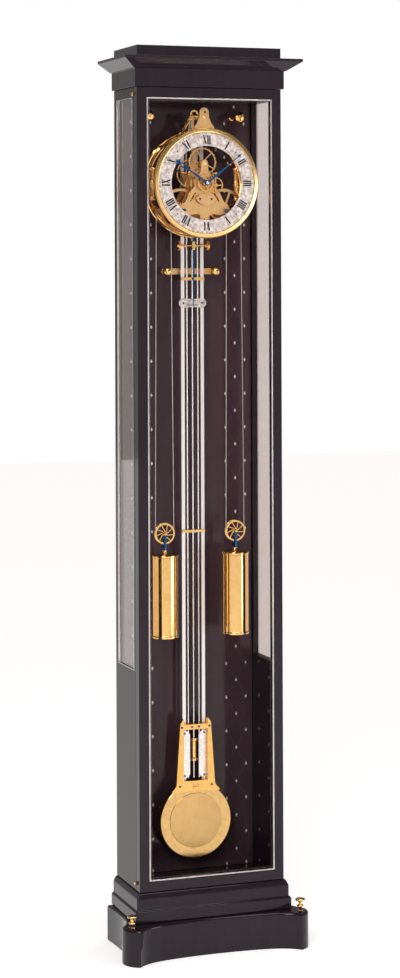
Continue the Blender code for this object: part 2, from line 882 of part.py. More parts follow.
seat_radius = chapter_outer_radius + seat_gap
ledge_front = chapter_depth + chapter_thickness + seat_gap
ledge_back = ledge_front + bezel_ledge_thickness
bezel_profile = [
    (seat_radius, deep(chapter_depth - bezel_lip)),
    (bezel_radius - bezel_chamfer, deep(chapter_depth - bezel_lip - bezel_dome)),
    (bezel_radius, deep(chapter_depth + bezel_dome)),
    (bezel_radius, deep(bezel_back_depth)),
    (bezel_radius - bezel_wall, deep(bezel_back_depth)),
    (bezel_radius - bezel_wall, deep(ledge_back)),
    (chapter_outer_radius - bezel_ledge, deep(ledge_back)),
    (chapter_outer_radius - bezel_ledge, deep(ledge_front)),
    (seat_radius, deep(ledge_front)),
]
piece("bezel", turned("Y", spot(0, 0), bezel_profile, round_sides, True), brass)
chapter_loops = [
    circle_at(spot(0, 0), radius, round_sides) for radius in (chapter_outer_radius, chapter_inner_radius)
]
chapter = slab("Y", chapter_loops, deep(chapter_depth), deep(chapter_depth + chapter_thickness))
piece("chapter_ring", chapter, silvered)


# Going train: each pair of wheel and pinion shares the distance between its two arbors
def shared(distance, ratio):
    """Radii of a wheel and the pinion it drives, just clear of each other."""
    pinion = distance / (ratio + 1)
    return distance - pinion - mesh_gap / 2, pinion - mesh_gap / 2


def crossed_wheel(outline, centre, inner, front, hub=wheel_hub_radius, spokes=wheel_spokes,
                  spoke_width=wheel_spoke_width, turn=0.0):
    """Wheel blank cut to an outline, with a rim, a solid hub and straight spokes."""
    loops = [outline]
    half = math.pi / spokes
    wide = half - math.asin(spoke_width / 2 / inner)
    narrow = half - math.asin(spoke_width / 2 / hub)
    for i in range(spokes):
        middle = turn + half * (2 * i + 1)
        window = circle(inner, 7, centre, middle - wide, middle + wide)
        window += reversed(circle(hub, 3, centre, middle - narrow, middle + narrow))
        loops.append(window)
    return slab("Y", loops, front, front + wheel_thickness)


def plain_wheel(centre, radius, front, **shape):
    return crossed_wheel(circle_at(centre, radius, 36), centre, radius - wheel_rim, front, **shape)


front_pivot = deep(plate_back + seat_gap)
back_pivot = deep(ring_depth + 2 * bar_recess - seat_gap)
intermediate_distance = math.hypot(barrel_aside, barrel_rise - intermediate_rise)
great_radius, intermediate_pinion = shared(intermediate_distance, great_ratio)
intermediate_radius, centre_pinion = shared(-intermediate_rise, intermediate_ratio)
centre_radius, third_pinion = shared(math.hypot(third_aside, third_rise), centre_ratio)
third_radius, escape_pinion = shared(math.hypot(third_aside, escape_rise - third_rise), third_ratio)
motion_distance = math.hypot(minute_stud_aside, minute_stud_rise)
minute_wheel_radius, cannon_radius = shared(motion_distance, minute_wheel_ratio)
hour_wheel_radius, minute_pinion = shared(motion_distance, hour_wheel_ratio)


def arbor(centre, radius, leaves, start=front_pivot, end=back_pivot):
    """Arbor between the plates; leaves are (radius, first, last) swellings, in order of depth."""
    profile = [(radius, start)]
    for swelling, first, last in leaves:
        profile += [(radius, first), (swelling, first), (swelling, last), (radius, last)]
    return turned("Y", centre, profile + [(radius, end)], 12)


def leaf_span(front):
    """A pinion stands a little past both faces of the wheel that drives it."""
    return deep(front) - leaf_overhang, deep(front) + wheel_thickness + leaf_overhang


def train_piece(name, centre, wheel, shaft, look=brass):
    place = (centre[0], deep(ring_depth), centre[1])
    return piece(name, combined(shaft, [wheel]), look, joint_empty(f"{name}_axis", place))


centre_spot = spot(0, 0)
escape_spot = spot(0, escape_rise)
third_spot = spot(third_aside, third_rise)
intermediate_spot = spot(0, intermediate_rise)

third_leaves = [(third_pinion, *leaf_span(centre_depth))]
third_blank = plain_wheel(third_spot, third_radius, deep(third_depth))
train_piece("third_wheel", third_spot, third_blank, arbor(third_spot, arbor_radius, third_leaves))

teeth = []
tip_shares = (0.0, 0.18)
root_shares = (0.34, 0.98)
for i in range(escape_teeth):
    for share in tip_shares + root_shares:
        angle = 2 * math.pi * (i + share) / escape_teeth
        reach = escape_radius if share in tip_shares else escape_radius - escape_tooth_height
        teeth.append((escape_spot[0] + reach * math.cos(angle), escape_spot[1] + reach * math.sin(angle)))
escape_blank = crossed_wheel(
    teeth, escape_spot, escape_radius - escape_tooth_height - escape_rim, deep(escape_depth),
    spoke_width=escape_spoke_width, turn=escape_spoke_angle,
)
escape_leaves = [(escape_pinion, *leaf_span(third_depth))]
train_piece("escape_wheel", escape_spot, escape_blank, arbor(escape_spot, arbor_radius, escape_leaves))

centre_blank = plain_wheel(centre_spot, centre_radius, deep(centre_depth))
arbor_front = deep(minute_hand_depth + hand_thickness + seat_gap)
centre_leaves = [
    (cannon_radius, *leaf_span(minute_wheel_depth)),
    (centre_pinion, *leaf_span(intermediate_depth)),
]
centre_shaft = arbor(centre_spot, centre_arbor_radius, centre_leaves, arbor_front)
centre_axis = joint_empty("centre_wheel_axis", (centre_spot[0], deep(ring_depth), centre_spot[1]))
piece("centre_wheel", combined(centre_shaft, [centre_blank]), brass, centre_axis)

intermediate_blank = plain_wheel(intermediate_spot, intermediate_radius, deep(intermediate_depth))
intermediate_leaves = [(intermediate_pinion, *leaf_span(great_depth))]
intermediate_shaft = arbor(intermediate_spot, arbor_radius, intermediate_leaves)
train_piece("intermediate_wheel", intermediate_spot, intermediate_blank, intermediate_shaft)

minute_front = deep(hour_wheel_depth)
minute_back = deep(minute_wheel_depth)
bore = arbor_radius + seat_gap
minute_profile = [
    (bore, minute_front),
    (minute_pinion, minute_front),
    (minute_pinion, minute_back),
    (minute_wheel_radius, minute_back),
    (minute_wheel_radius, minute_back + motion_wheel_thickness),
    (bore, minute_back + motion_wheel_thickness),
]
minute_axis = joint_empty("minute_wheel_axis", (stud_spot[0], minute_back, stud_spot[1]))
piece("minute_wheel", turned("Y", stud_spot, minute_profile, 24, True), brass, minute_axis)


def pointed(angle, shape):
    """An outline drawn pointing up, turned clockwise about the dial's centre."""
    turn, reach = math.sin(angle), math.cos(angle)
    return [spot(u * reach + v * turn, v * reach - u * turn) for u, v in shape]


def hand_outline(length, width, cross, cross_half):
    """A slim hand with a round hub, a short tail and a small cross near its tip."""
    neck = math.atan2(width, hub_radius)
    hub = circle(hub_radius, 13, (0.0, 0.0), -math.pi / 2, math.pi / 2 - neck)
    blade = [
        (width, cross - cross_half),
        (cross_half, cross),
        (width, cross + cross_half),
        (width / 2, length - width),
        (0.0, length),
    ]
    return mirrored(hub + blade)


minute_loop = pointed(minute_hand_angle, hand_outline(
    minute_hand_length, minute_hand_half_width, minute_cross_reach, minute_cross_half
))
minute_hand = slab("Y", [minute_loop], deep(minute_hand_depth), deep(minute_hand_depth + hand_thickness))
cap_profile = [
    (cap_radius - cap_chamfer, deep(minute_hand_depth - cap_proud)),
    (cap_radius, deep(minute_hand_depth - cap_proud / 2)),
    (cap_radius, deep(minute_hand_depth + hand_thickness / 2)),
]
cap = turned("Y", centre_spot, cap_profile, 16)
piece("minute_hand", combined(minute_hand, [cap]), blued_steel, centre_axis)

hour_loop = pointed(hour_hand_angle, hand_outline(
    hour_hand_length, hour_hand_half_width, hour_cross_reach, hour_cross_half
))
hour_bore = centre_arbor_radius + seat_gap
hour_slab = slab(
    "Y",
    [hour_loop, circle_at(centre_spot, (hour_bore + hour_pipe_radius) / 2, 16)],
    deep(hour_hand_depth + seat_gap),
    deep(hour_hand_depth + hand_thickness),
)
hour_wheel_back = deep(hour_wheel_depth + motion_wheel_thickness)
hour_profile = [
    (hour_bore, deep(hour_hand_depth)),
    (hour_pipe_radius, deep(hour_hand_depth)),
    (hour_pipe_radius, deep(hour_wheel_depth)),
    (hour_wheel_radius, deep(hour_wheel_depth)),
    (hour_wheel_radius, hour_wheel_back),
    (hour_bore, hour_wheel_back),
]
hour_pipe = turned("Y", centre_spot, hour_profile, 24, True)
hour_axis = joint_empty("hour_hand_axis", (centre_spot[0], deep(hour_hand_depth), centre_spot[1]))
piece("hour_hand", combined(hour_pipe, [hour_slab]), blued_steel, hour_axis)

for label, side in sides.items():
    barrel_spot = spot(side * barrel_aside, barrel_rise)
    great = plain_wheel(
        barrel_spot, great_radius, deep(great_depth),
        hub=great_hub_radius, spokes=great_spokes, spoke_width=great_spoke_width,
    )
    hub = rod("Y", barrel_spot, barrel_arbor_radius + seat_gap, deep(0.0), deep(ring_depth))
    place = (barrel_spot[0], deep(great_depth), barrel_spot[1])
    great_axis = joint_empty(f"great_wheel_{label}_axis", place)
    piece(f"great_wheel_{label}", combined(great, [hub], "DIFFERENCE"), brass, great_axis)
    drum_radius = barrel_line_radius - line_radius - seat_gap
    drum_profile = [
        (barrel_arbor_radius, deep(winding_square_depth)),
        (barrel_arbor_radius, deep(barrel_front_depth)),
        (barrel_flange_radius, deep(barrel_front_depth)),
        (barrel_flange_radius, deep(barrel_front_depth + barrel_flange_thickness)),
        (drum_radius, deep(barrel_front_depth + barrel_flange_thickness)),
        (drum_radius, deep(barrel_back_depth - barrel_flange_thickness)),
        (barrel_flange_radius, deep(barrel_back_depth - barrel_flange_thickness)),
        (barrel_flange_radius, deep(barrel_back_depth)),
        (barrel_arbor_radius, deep(barrel_back_depth)),
        (barrel_arbor_radius, back_pivot),
    ]
    barrel_axis = joint_empty(f"barrel_{label}_axis", place)
    piece(f"barrel_{label}", turned("Y", barrel_spot, drum_profile, 16), brass, barrel_axis)

# Escapement: anchor on its arbor, with the crutch and beat setting bar behind
pallet_x = anchor_reach * math.sin(anchor_spread)
pallet_z = escape_rise + anchor_reach * math.cos(anchor_spread)
anchor_half = [
    (0.0, pivot_rise - anchor_crotch),
    (pallet_x - pallet_width, pallet_z + pallet_shoulder),
    (pallet_x, pallet_z + pallet_height),
    (pallet_x, pallet_z),
    (pallet_x + pallet_width, pallet_z + pallet_width / 2),
    (pallet_x + pallet_width, pallet_z + pallet_shoulder),
    (anchor_boss, pivot_rise),
    (anchor_boss - anchor_radius, pivot_rise + anchor_boss - anchor_radius),
    (0.0, pivot_rise + anchor_boss),
]
anchor_loop = mirrored([spot(u, v) for u, v in anchor_half])
anchor_axis = joint_empty("anchor_axis", (0.0, deep(escape_depth), rise(pivot_rise)))
anchor_slab = slab("Y", [anchor_loop], deep(escape_depth), deep(escape_depth + wheel_thickness))
anchor_start = deep(cock_depth + cock_thickness + seat_gap)
anchor_shaft = rod("Y", spot(0, pivot_rise), anchor_radius, anchor_start, deep(crutch_depth - seat_gap), 12)
piece("anchor", combined(anchor_shaft, [anchor_slab]), steel, anchor_axis)

eye_start = -math.acos(crutch_half_width / crutch_eye_radius)
eye = circle(crutch_eye_radius, 9, (0.0, pivot_rise), eye_start, math.pi / 2)
block_low = beat_bar_rise - crutch_block_half_height
block_high = beat_bar_rise + crutch_block_half_height
crutch_half = [
    (0.0, pointer_tip_rise),
    (pointer_tip_half_width, pointer_tip_rise + pointer_tip_height),
    (crutch_half_width, block_low - crutch_block_taper),
    (crutch_block_half_width, block_low),
    (crutch_block_half_width, block_high),
    (crutch_half_width, block_high + crutch_block_taper),
] + eye
crutch_loop = mirrored([spot(u, v) for u, v in crutch_half])
crutch = slab("Y", [crutch_loop], deep(crutch_depth), deep(crutch_depth + crutch_thickness))
near = beat_knob_aside - beat_knob_thickness / 2
far = beat_knob_aside + beat_knob_thickness / 2
half_bar = [
    (beat_bar_radius, beat_bar_half_length),
    (beat_bar_radius, far),
    (beat_knob_radius, far),
    (beat_knob_radius, near),
    (beat_bar_radius, near),
]
bar_profile = [(radius, -place) for radius, place in half_bar] + list(reversed(half_bar))
bar_spot = (deep(crutch_depth + crutch_thickness / 2), rise(beat_bar_rise))
piece("crutch", combined(crutch, [turned("X", bar_spot, bar_profile, 12)]), blued_steel, anchor_axis)

# Pendulum: spring, head, rods and cross bars, with the bob and its bracket on the rods' ends
pendulum_y = deep(pendulum_depth)
pendulum_axis = joint_empty("pendulum_axis", (0.0, pendulum_y, rise(pivot_rise)))
head_low = rise(head_rise)
head_high = head_low + head_height
bob_z = rise(pivot_rise) - pendulum_length


def spring_loop(wide, thick, z):
    return [(u, v, z) for u, v in rectangle((-wide, pendulum_y - thick), (wide, pendulum_y + thick))]


foot_low = head_high + seat_gap
foot_high = foot_low + spring_foot_height
spring_loops = [
    spring_loop(spring_foot_half_width, spring_foot_half_depth, foot_low),
    spring_loop(spring_foot_half_width, spring_foot_half_depth, foot_high),
    spring_loop(spring_half_width, spring_half_thickness, foot_high + spring_foot_taper),
    spring_loop(spring_half_width, spring_half_thickness, rise(spring_top)),
]
piece("suspension_spring", loft(spring_loops), steel, pendulum_axis)
head_front = (-head_half_width, pendulum_y - head_half_depth, head_low)
head = box(head_front, (head_half_width, pendulum_y + head_half_depth, head_high))
piece("pendulum_head", head, brass, pendulum_axis)

nut_low = bob_z + nut_over_bob - nut_height / 2
nut_high = nut_low + nut_height
window_foot = nut_low - nut_footroom
window_head_z = nut_high + nut_headroom
bar_top = window_head_z + bracket_bar_height
bracket_low = window_foot - bracket_foot_height
bracket_high = bar_top + bracket_bar_drop
rod_top = head_low - seat_gap


def flat_rod(side, gap, low, high):
    """One of the two flat outer rods, or the slot that clears it by the given gap."""
    half_width = outer_rod_half_width + gap
    half_depth = outer_rod_half_depth + gap
    near = (side * outer_rod_aside - half_width, pendulum_y - half_depth, low)
    return box(near, (side * outer_rod_aside + half_width, pendulum_y + half_depth, high))


for label, side in sides.items():
    outer = flat_rod(side, 0.0, window_foot - rod_seat_depth, rod_top)
    piece(f"outer_rod_{label}", outer, steel, pendulum_axis)
    inner_place = (side * inner_rod_aside, pendulum_y)
    inner = rod("Z", inner_place, inner_rod_radius, bar_top + 2 * bob_travel, rod_top, 8)
    piece(f"inner_rod_{label}", inner, brass, pendulum_axis)
centre_rod = rod("Z", (0.0, pendulum_y), centre_rod_radius, window_foot + 2 * bob_travel, rod_top, 8)
piece("centre_rod", centre_rod, steel, pendulum_axis)

cross_bar_reach = outer_rod_aside - outer_rod_half_width - seat_gap
for label, up in {"upper": upper_bar_rise, "lower": lower_bar_rise}.items():
    low = (-cross_bar_reach, pendulum_y - cross_bar_half_depth)
    loops = [rectangle(low, (cross_bar_reach, pendulum_y + cross_bar_half_depth))]
    for aside in (-inner_rod_aside, inner_rod_aside):
        loops.append(circle_at((aside, pendulum_y), inner_rod_radius + seat_gap, 12))
    loops.append(circle_at((0.0, pendulum_y), centre_rod_radius + seat_gap, 12))
    middle = rise(up)
    cross_bar = slab("Z", loops, middle - cross_bar_height / 2, middle + cross_bar_height / 2)
    piece(f"{label}_cross_bar", cross_bar, brass, pendulum_axis)

scale_back = pendulum_y - outer_rod_half_depth - seat_gap
scale_low = (-scale_half_width, scale_back - scale_thickness, rise(scale_rise) - scale_height / 2)
scale_high = (scale_half_width, scale_back, rise(scale_rise) + scale_height / 2)
piece("beat_scale", box(scale_low, scale_high), silvered, pendulum_axis)

bob_axis = joint_empty("bob_travel", (0.0, pendulum_y, bob_z), pendulum_axis)
bracket_half = [
    (bracket_low_half_width, bracket_low),
    (bracket_waist_half_width, bracket_low + bracket_flare_height),
    (bracket_top_half_width, bar_top),
    (bracket_ear_half_width, bracket_high - bracket_ear_fall),
    (bracket_window_half_width + bracket_ear_crown, bracket_high),
    (bracket_window_half_width, bracket_high),
    (bracket_window_half_width, bar_top),
]
bracket_loops = [
    bracket_half + [(-u, v) for u, v in reversed(bracket_half)],
    rectangle((-bracket_window_half_width, window_foot), (bracket_window_half_width, window_head_z)),
]
bracket = slab("Y", bracket_loops, deep(bracket_front_depth), deep(bracket_back_depth))
seat_low = window_foot - rod_seat_depth - 1.5 * bob_travel
above = bracket_high + rod_seat_depth
holes = [flat_rod(side, seat_gap, seat_low, above) for side in sides.values()]
shaft_middle = (window_foot + window_head_z) / 2
holes.append(rod("Z", (0.0, pendulum_y), centre_rod_radius + seat_gap, shaft_middle, above, 12))
piece("bob_bracket", combined(bracket, holes, "DIFFERENCE"), brass, bob_axis)

bob_profile = [
    (0.0, pendulum_y - bob_half_thickness),
    (bob_face_radius, pendulum_y - bob_half_thickness),
    (bob_face_radius + bob_step_width, pendulum_y - bob_half_thickness + bob_step_fall),
    (bob_radius, pendulum_y - bob_edge_half_thickness),
    (bob_radius, pendulum_y + bob_edge_half_thickness),
    (bob_face_radius + bob_step_width, pendulum_y + bob_half_thickness - bob_step_fall),
    (bob_face_radius, pendulum_y + bob_half_thickness),
    (0.0, pendulum_y + bob_half_thickness),
]
bob = turned("Y", (0.0, bob_z), bob_profile, round_sides)
notch_half = bracket_low_half_width + seat_gap
notch_low = (-notch_half, deep(bracket_front_depth) - seat_gap, bracket_low - seat_gap)
notch_high = (notch_half, deep(bracket_back_depth) + seat_gap, bracket_high)
piece("bob", combined(bob, [box(notch_low, notch_high)], "DIFFERENCE"), brass, bob_axis)

nut_axis = joint_empty("rating_nut_axis", (0.0, pendulum_y, nut_low), bob_axis)
nut_bore = centre_rod_radius + seat_gap
nut_profile = [
    (nut_bore, window_head_z - seat_gap),
    (nut_sleeve_radius, window_head_z - seat_gap),
    (nut_sleeve_radius, nut_high),
    (nut_radius, nut_high),
    (nut_radius, nut_high - nut_flange),
    (nut_waist_radius, nut_high - nut_flange - nut_cone),
    (nut_waist_radius, nut_low + nut_flange + nut_cone),
    (nut_radius, nut_low + nut_flange),
    (nut_radius, nut_low),
    (nut_sleeve_radius, nut_low),
    (nut_sleeve_radius, window_foot + seat_gap),
    (nut_bore, window_foot + seat_gap),
]
nut = turned("Z", (0.0, pendulum_y), nut_profile, 14, True)
piece("rating_nut", nut, brass, nut_axis)


# Weights: each hangs in the bight of its line, one end on the barrel and one on the rear frame
def line_path(side):
    pulley_z = rise(-pulley_drop)
    stud_x, stud_z = dial_spot(ring_middle_radius, line_stud_angle)
    bight = circle(pulley_line_radius, 15, (pulley_aside, pulley_z), math.pi, 2 * math.pi)
    tied = stud_z - line_stud_radius - line_radius - seat_gap
    path = [(barrel_aside + barrel_line_radius, rise(barrel_rise))] + bight + [(stud_x, tied)]
    return [(side * x, deep(line_depth), z) for x, z in path]


for label, side in sides.items():
    pulley_spot = (side * pulley_aside, rise(-pulley_drop))
    weight_axis = joint_empty(f"weight_{label}_travel", (pulley_spot[0], deep(line_depth), pulley_spot[1]))
    pulley_axis = joint_empty(f"pulley_{label}_axis", origin_of(weight_axis), weight_axis)
    groove = pulley_line_radius - line_radius - seat_gap
    rim_inner = groove - pulley_rim
    front, back = deep(line_depth - pulley_half_width), deep(line_depth + pulley_half_width)
    rim_profile = [
        (rim_inner, front),
        (pulley_radius, front),
        (groove, deep(line_depth - pulley_groove_half_width)),
        (groove, deep(line_depth + pulley_groove_half_width)),
        (pulley_radius, back),
        (rim_inner, back),
    ]
    rim = turned("Y", pulley_spot, rim_profile, 27, True)
    web_radius = (rim_inner + groove) / 2
    window_radius = rim_inner - pulley_web_half_width / 2
    web_loops = [circle_at(pulley_spot, web_radius, 27)]
    web_loops.append(circle_at(pulley_spot, pulley_bore_radius, 12))
    for i in range(pulley_spokes):
        half = math.pi / pulley_spokes
        middle = half * (2 * i + 1)
        wide = half - math.asin(pulley_spoke_width / 2 / window_radius)
        narrow = half - math.asin(pulley_spoke_width / 2 / pulley_hub_radius)
        window = circle(window_radius, 3, pulley_spot, middle - wide, middle + wide)
        window += reversed(circle(pulley_hub_radius, 2, pulley_spot, middle - narrow, middle + narrow))
        web_loops.append(window)
    web_front = deep(line_depth - pulley_web_half_width)
    web = slab("Y", web_loops, web_front, web_front + 2 * pulley_web_half_width)
    piece(f"pulley_{label}", combined(rim, [web]), brass, pulley_axis)

    cheek_inner = pulley_half_width + seat_gap
    cheek_outer = cheek_inner + fork_thickness
    fork_low = pulley_spot[1] - fork_drop
    bridge_high = fork_low + fork_bridge
    bridge_low = (pulley_spot[0] - fork_half_width, deep(line_depth - cheek_outer), fork_low)
    bridge_far = (pulley_spot[0] + fork_half_width, deep(line_depth + cheek_outer), bridge_high)
    bridge = box(bridge_low, bridge_far)
    cheeks = []
    for first, last in ((-cheek_outer, -cheek_inner), (cheek_inner, cheek_outer)):
        strap = [
            (pulley_spot[0] - strap_half_width, bridge_high - fork_thickness),
            (pulley_spot[0] + strap_half_width, bridge_high - fork_thickness),
        ]
        strap += circle(fork_half_width, 7, pulley_spot, 0.0, math.pi)
        cheeks.append(slab("Y", [strap], deep(line_depth + first), deep(line_depth + last)))
    pin_radius = pulley_bore_radius - seat_gap
    reach = cheek_outer - fork_thickness / 3
    pin = rod("Y", pulley_spot, pin_radius, deep(line_depth - reach), deep(line_depth + reach), 12)
    piece(f"pulley_fork_{label}", combined(bridge, cheeks + [pin]), blued_steel, weight_axis)

    neck_high = fork_low - seat_gap
    top = neck_high - weight_neck_height
    low = top - weight_height
    body_radius = weight_radius - weight_lip
    weight_profile = [
        (weight_radius - weight_chamfer, low),
        (weight_radius, low + weight_chamfer),
        (weight_radius, low + weight_lip_height),
        (body_radius, low + weight_lip_height + weight_lip_cone),
        (body_radius, top - weight_lip_height - weight_lip_cone),
        (weight_radius, top - weight_lip_height),
        (weight_radius, top - weight_chamfer),
        (weight_radius - weight_chamfer, top),
        (weight_neck_radius + weight_chamfer, top),
        (weight_neck_radius, top + weight_chamfer),
        (weight_neck_radius, neck_high),
    ]
    weight = turned("Z", (pulley_spot[0], deep(line_depth)), weight_profile, 24)
    piece(f"weight_{label}", weight, brass, weight_axis)

    curve = bpy.data.curves.new(f"line_{label}", "CURVE")
    curve.dimensions = "3D"
    curve.bevel_depth = line_radius
    curve.bevel_resolution = line_sides
    curve.use_fill_caps = True
    path = line_path(side)
    spline = curve.splines.new("POLY")
    spline.points.add(len(path) - 1)
    for point, place in zip(spline.points, path):
        point.co = (*[a - b for a, b in zip(place, origin_of(weight_axis))], 1.0)
    dressed(f"line_{label}", curve, gut, weight_axis)
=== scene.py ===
import math

import bmesh
import bpy
from mathutils import Matrix, Vector


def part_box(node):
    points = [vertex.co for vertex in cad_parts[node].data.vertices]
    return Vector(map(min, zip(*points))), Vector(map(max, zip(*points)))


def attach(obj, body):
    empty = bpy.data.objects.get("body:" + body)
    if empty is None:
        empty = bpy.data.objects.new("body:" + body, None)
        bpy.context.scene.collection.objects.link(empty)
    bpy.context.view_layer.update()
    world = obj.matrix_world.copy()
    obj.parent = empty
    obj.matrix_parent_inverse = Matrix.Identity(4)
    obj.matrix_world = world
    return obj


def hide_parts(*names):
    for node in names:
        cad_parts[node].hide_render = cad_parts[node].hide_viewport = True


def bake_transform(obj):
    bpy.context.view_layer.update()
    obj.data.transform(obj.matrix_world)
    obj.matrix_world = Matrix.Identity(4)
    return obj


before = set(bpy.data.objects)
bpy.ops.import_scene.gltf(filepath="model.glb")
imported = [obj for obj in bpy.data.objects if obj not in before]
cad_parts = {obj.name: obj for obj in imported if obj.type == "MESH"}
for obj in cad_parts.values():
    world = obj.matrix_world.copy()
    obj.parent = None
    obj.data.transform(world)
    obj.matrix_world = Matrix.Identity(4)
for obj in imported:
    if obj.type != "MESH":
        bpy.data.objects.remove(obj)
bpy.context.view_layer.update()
scene = bpy.context.scene
scene.view_settings.view_transform = "Standard"
print("frame loaded:", len(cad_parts), "nodes")


# a socket that takes part in sums; one without a socket only makes nodes
class Wire:
    def __init__(self, tree, socket=None):
        self.tree = tree
        self.socket = socket

    def node(self, kind, settings=None, values=None, out=0):
        made = self.tree.nodes.new("ShaderNode" + kind)
        for key, value in (settings or {}).items():
            if key == "stops":
                ramp = made.color_ramp.elements
                while len(ramp) < len(value):
                    ramp.new(1.0)
                for stop, (place, level) in zip(ramp, value):
                    stop.position = place
                    stop.color = (level, level, level, 1.0)
            else:
                setattr(made, key, value)
        for key, value in (values or {}).items():
            if isinstance(value, Wire):
                self.tree.links.new(value.socket, made.inputs[key])
            else:
                made.inputs[key].default_value = value
        return Wire(self.tree, made.outputs[out] if made.outputs else None)

    def part(self, out):      # another output of the same node
        return Wire(self.tree, self.socket.node.outputs[out])

    def sum(self, operation, first, second=0.0):
        return self.node("Math", {"operation": operation}, {0: first, 1: second})

    def __add__(self, other):
        return self.sum("ADD", self, other)

    def __radd__(self, other):
        return self.sum("ADD", other, self)

    def __sub__(self, other):
        return self.sum("SUBTRACT", self, other)

    def __rsub__(self, other):
        return self.sum("SUBTRACT", other, self)

    def __mul__(self, other):
        return self.sum("MULTIPLY", self, other)

    def __rmul__(self, other):
        return self.sum("MULTIPLY", other, self)

    def __lt__(self, other):
        return self.sum("LESS_THAN", self, other)

    def __gt__(self, other):
        return self.sum("GREATER_THAN", self, other)

    def __abs__(self):
        return self.sum("ABSOLUTE", self)


def rays(start):
    kinds = ("Camera", "Glossy", "Transmission")
    return [start.node("LightPath", out="Is " + kind + " Ray") for kind in kinds]


def newMaterial(name):
    material = bpy.data.materials.new(name)
    material.use_nodes = True
    return material, Wire(material.node_tree)


def at(x=0.0, y=0.0, z=0.0):
    return Matrix.Translation((x, y, z))


def turned(degrees, axis="Z"):
    return Matrix.Rotation(math.radians(degrees), 4, axis)


shot = {"place": (-1.7511, -4.849, 1.511), "turn": -19.798, "roll": -0.22, "lens": 85.97, "drop": -0.2339}


def setCamera():
    lens = bpy.data.cameras.new("camera")
    lens.sensor_width = 36
    lens.lens = shot["lens"]
    lens.shift_y = shot["drop"]
    camera = bpy.data.objects.new("camera", lens)
    turn = turned(shot["turn"]) @ turned(90, "X") @ turned(shot["roll"])
    camera.matrix_world = at(*shot["place"]) @ turn
    scene.collection.objects.link(camera)
    scene.camera = camera


# brightness round the room as metal sees it, from behind left, past the camera, to behind right,
# and what is left of it above, where the room over the camera is dark for what is tilted up
studio = {
    "round": [(0.0, 0.49), (0.111, 0.49), (0.153, 0.24), (0.208, 0.24), (0.236, 0.38), (0.319, 0.38),
              (0.375, 0.5), (0.394, 1.0), (0.526, 1.0), (0.537, 0.76), (0.708, 0.74), (0.728, 0.16),
              (0.92, 0.16), (0.96, 0.45), (1.0, 0.49)],
    "above": [(0.0, 1.0), (0.43, 1.0), (0.45, 0.1), (0.525, 0.1), (0.54, 1.0), (0.575, 1.0), (0.588, 0.16),
              (0.64, 0.16), (0.66, 1.0), (1.0, 1.0)],
    "aboveFrom": 0.06,
    "aboveFade": 20.0,
    "ceiling": 0.55,
    "tint": (1.0, 0.945, 0.93, 1.0),
    "plain": 0.62,
    "floor": 0.86,
    "floorSize": 12,
    "floorGlow": 0.45,
    "lamps": [
        {"name": "key", "place": (-1.9, -3.2, 3.1), "aim": (0, 0, 1.1), "size": (1.6, 2.0), "power": 62},
        {"name": "fill", "place": (2.6, -2.2, 1.0), "aim": (0, 0, 1.3), "size": (1.2, 1.6), "power": 32},
        {"name": "softBox", "place": (-0.35, -2.3, 4.4), "aim": (0, 0, 1), "size": (4.5, 1), "power": 127},
    ],
}


def setStudio():
    world = bpy.data.worlds.new("studio")
    world.use_nodes = True
    scene.world = world
    world.node_tree.nodes.clear()
    start = Wire(world.node_tree)
    way = start.node("SeparateXYZ", {}, {0: start.node("TexCoord")})
    up = way.part(2)
    bearing = start.sum("ARCTAN2", way, 0.0 - way.part(1)) * (0.5 / math.pi) + 0.5
    high = start.node("Clamp", {}, {0: up * 2.0})
    over = start.node("Clamp", {}, {0: (up - studio["aboveFrom"]) * studio["aboveFade"]})
    level = start.node("ValToRGB", {"stops": studio["round"]}, {0: bearing}) * (1 - high * studio["ceiling"])
    above = start.node("ValToRGB", {"stops": studio["above"]}, {0: bearing})
    level = level * (1 - over * (1 - above))
    camera, glossy, through = rays(start)
    unseen = through + (1 - through) * studio["plain"]
    strength = camera + (1 - camera) * (glossy * level + (1 - glossy) * unseen)
    tint = start.node("Mix", {"data_type": "RGBA"}, {0: camera, 6: studio["tint"], 7: (1, 1, 1, 1)}, 2)
    shade = start.node("Background", {}, {"Color": tint, "Strength": strength})
    start.node("OutputWorld", {}, {"Surface": shade})

    floorMesh = bmesh.new()
    bmesh.ops.create_grid(floorMesh, x_segments=1, y_segments=1, size=studio["floorSize"])
    mesh = bpy.data.meshes.new("floor")
    floorMesh.to_mesh(mesh)
    floorMesh.free()
    floor = bpy.data.objects.new("floor", mesh)
    scene.collection.objects.link(floor)
    material, start = newMaterial("floor")
    material.node_tree.nodes.clear()
    camera, glossy, through = rays(start)
    seen = camera + glossy + through
    plain = [studio["floor"]] * 3 + [1]
    matt = start.node("BsdfDiffuse", {}, {"Color": plain})
    glow = start.node("Emission", {}, {"Strength": seen * studio["floorGlow"]})
    both = start.node("AddShader", {}, {0: matt, 1: glow})
    start.node("OutputMaterial", {}, {"Surface": both})
    mesh.materials.append(material)

    for lamp in studio["lamps"]:
        data = bpy.data.lights.new(lamp["name"], "AREA")
        data.shape = "RECTANGLE"
        data.size, data.size_y = lamp["size"]
        data.energy = lamp["power"]
        source = bpy.data.objects.new(lamp["name"], data)
        aim = Vector(lamp["aim"]) - Vector(lamp["place"])
        source.matrix_world = at(*lamp["place"]) @ aim.to_track_quat("-Z", "Y").to_matrix().to_4x4()
        source.visible_diffuse = lamp["name"] != "softBox"      # overhead, only for gleams on rounded edges
        scene.collection.objects.link(source)


setCamera()
setStudio()
print("camera, floor and lamps set")

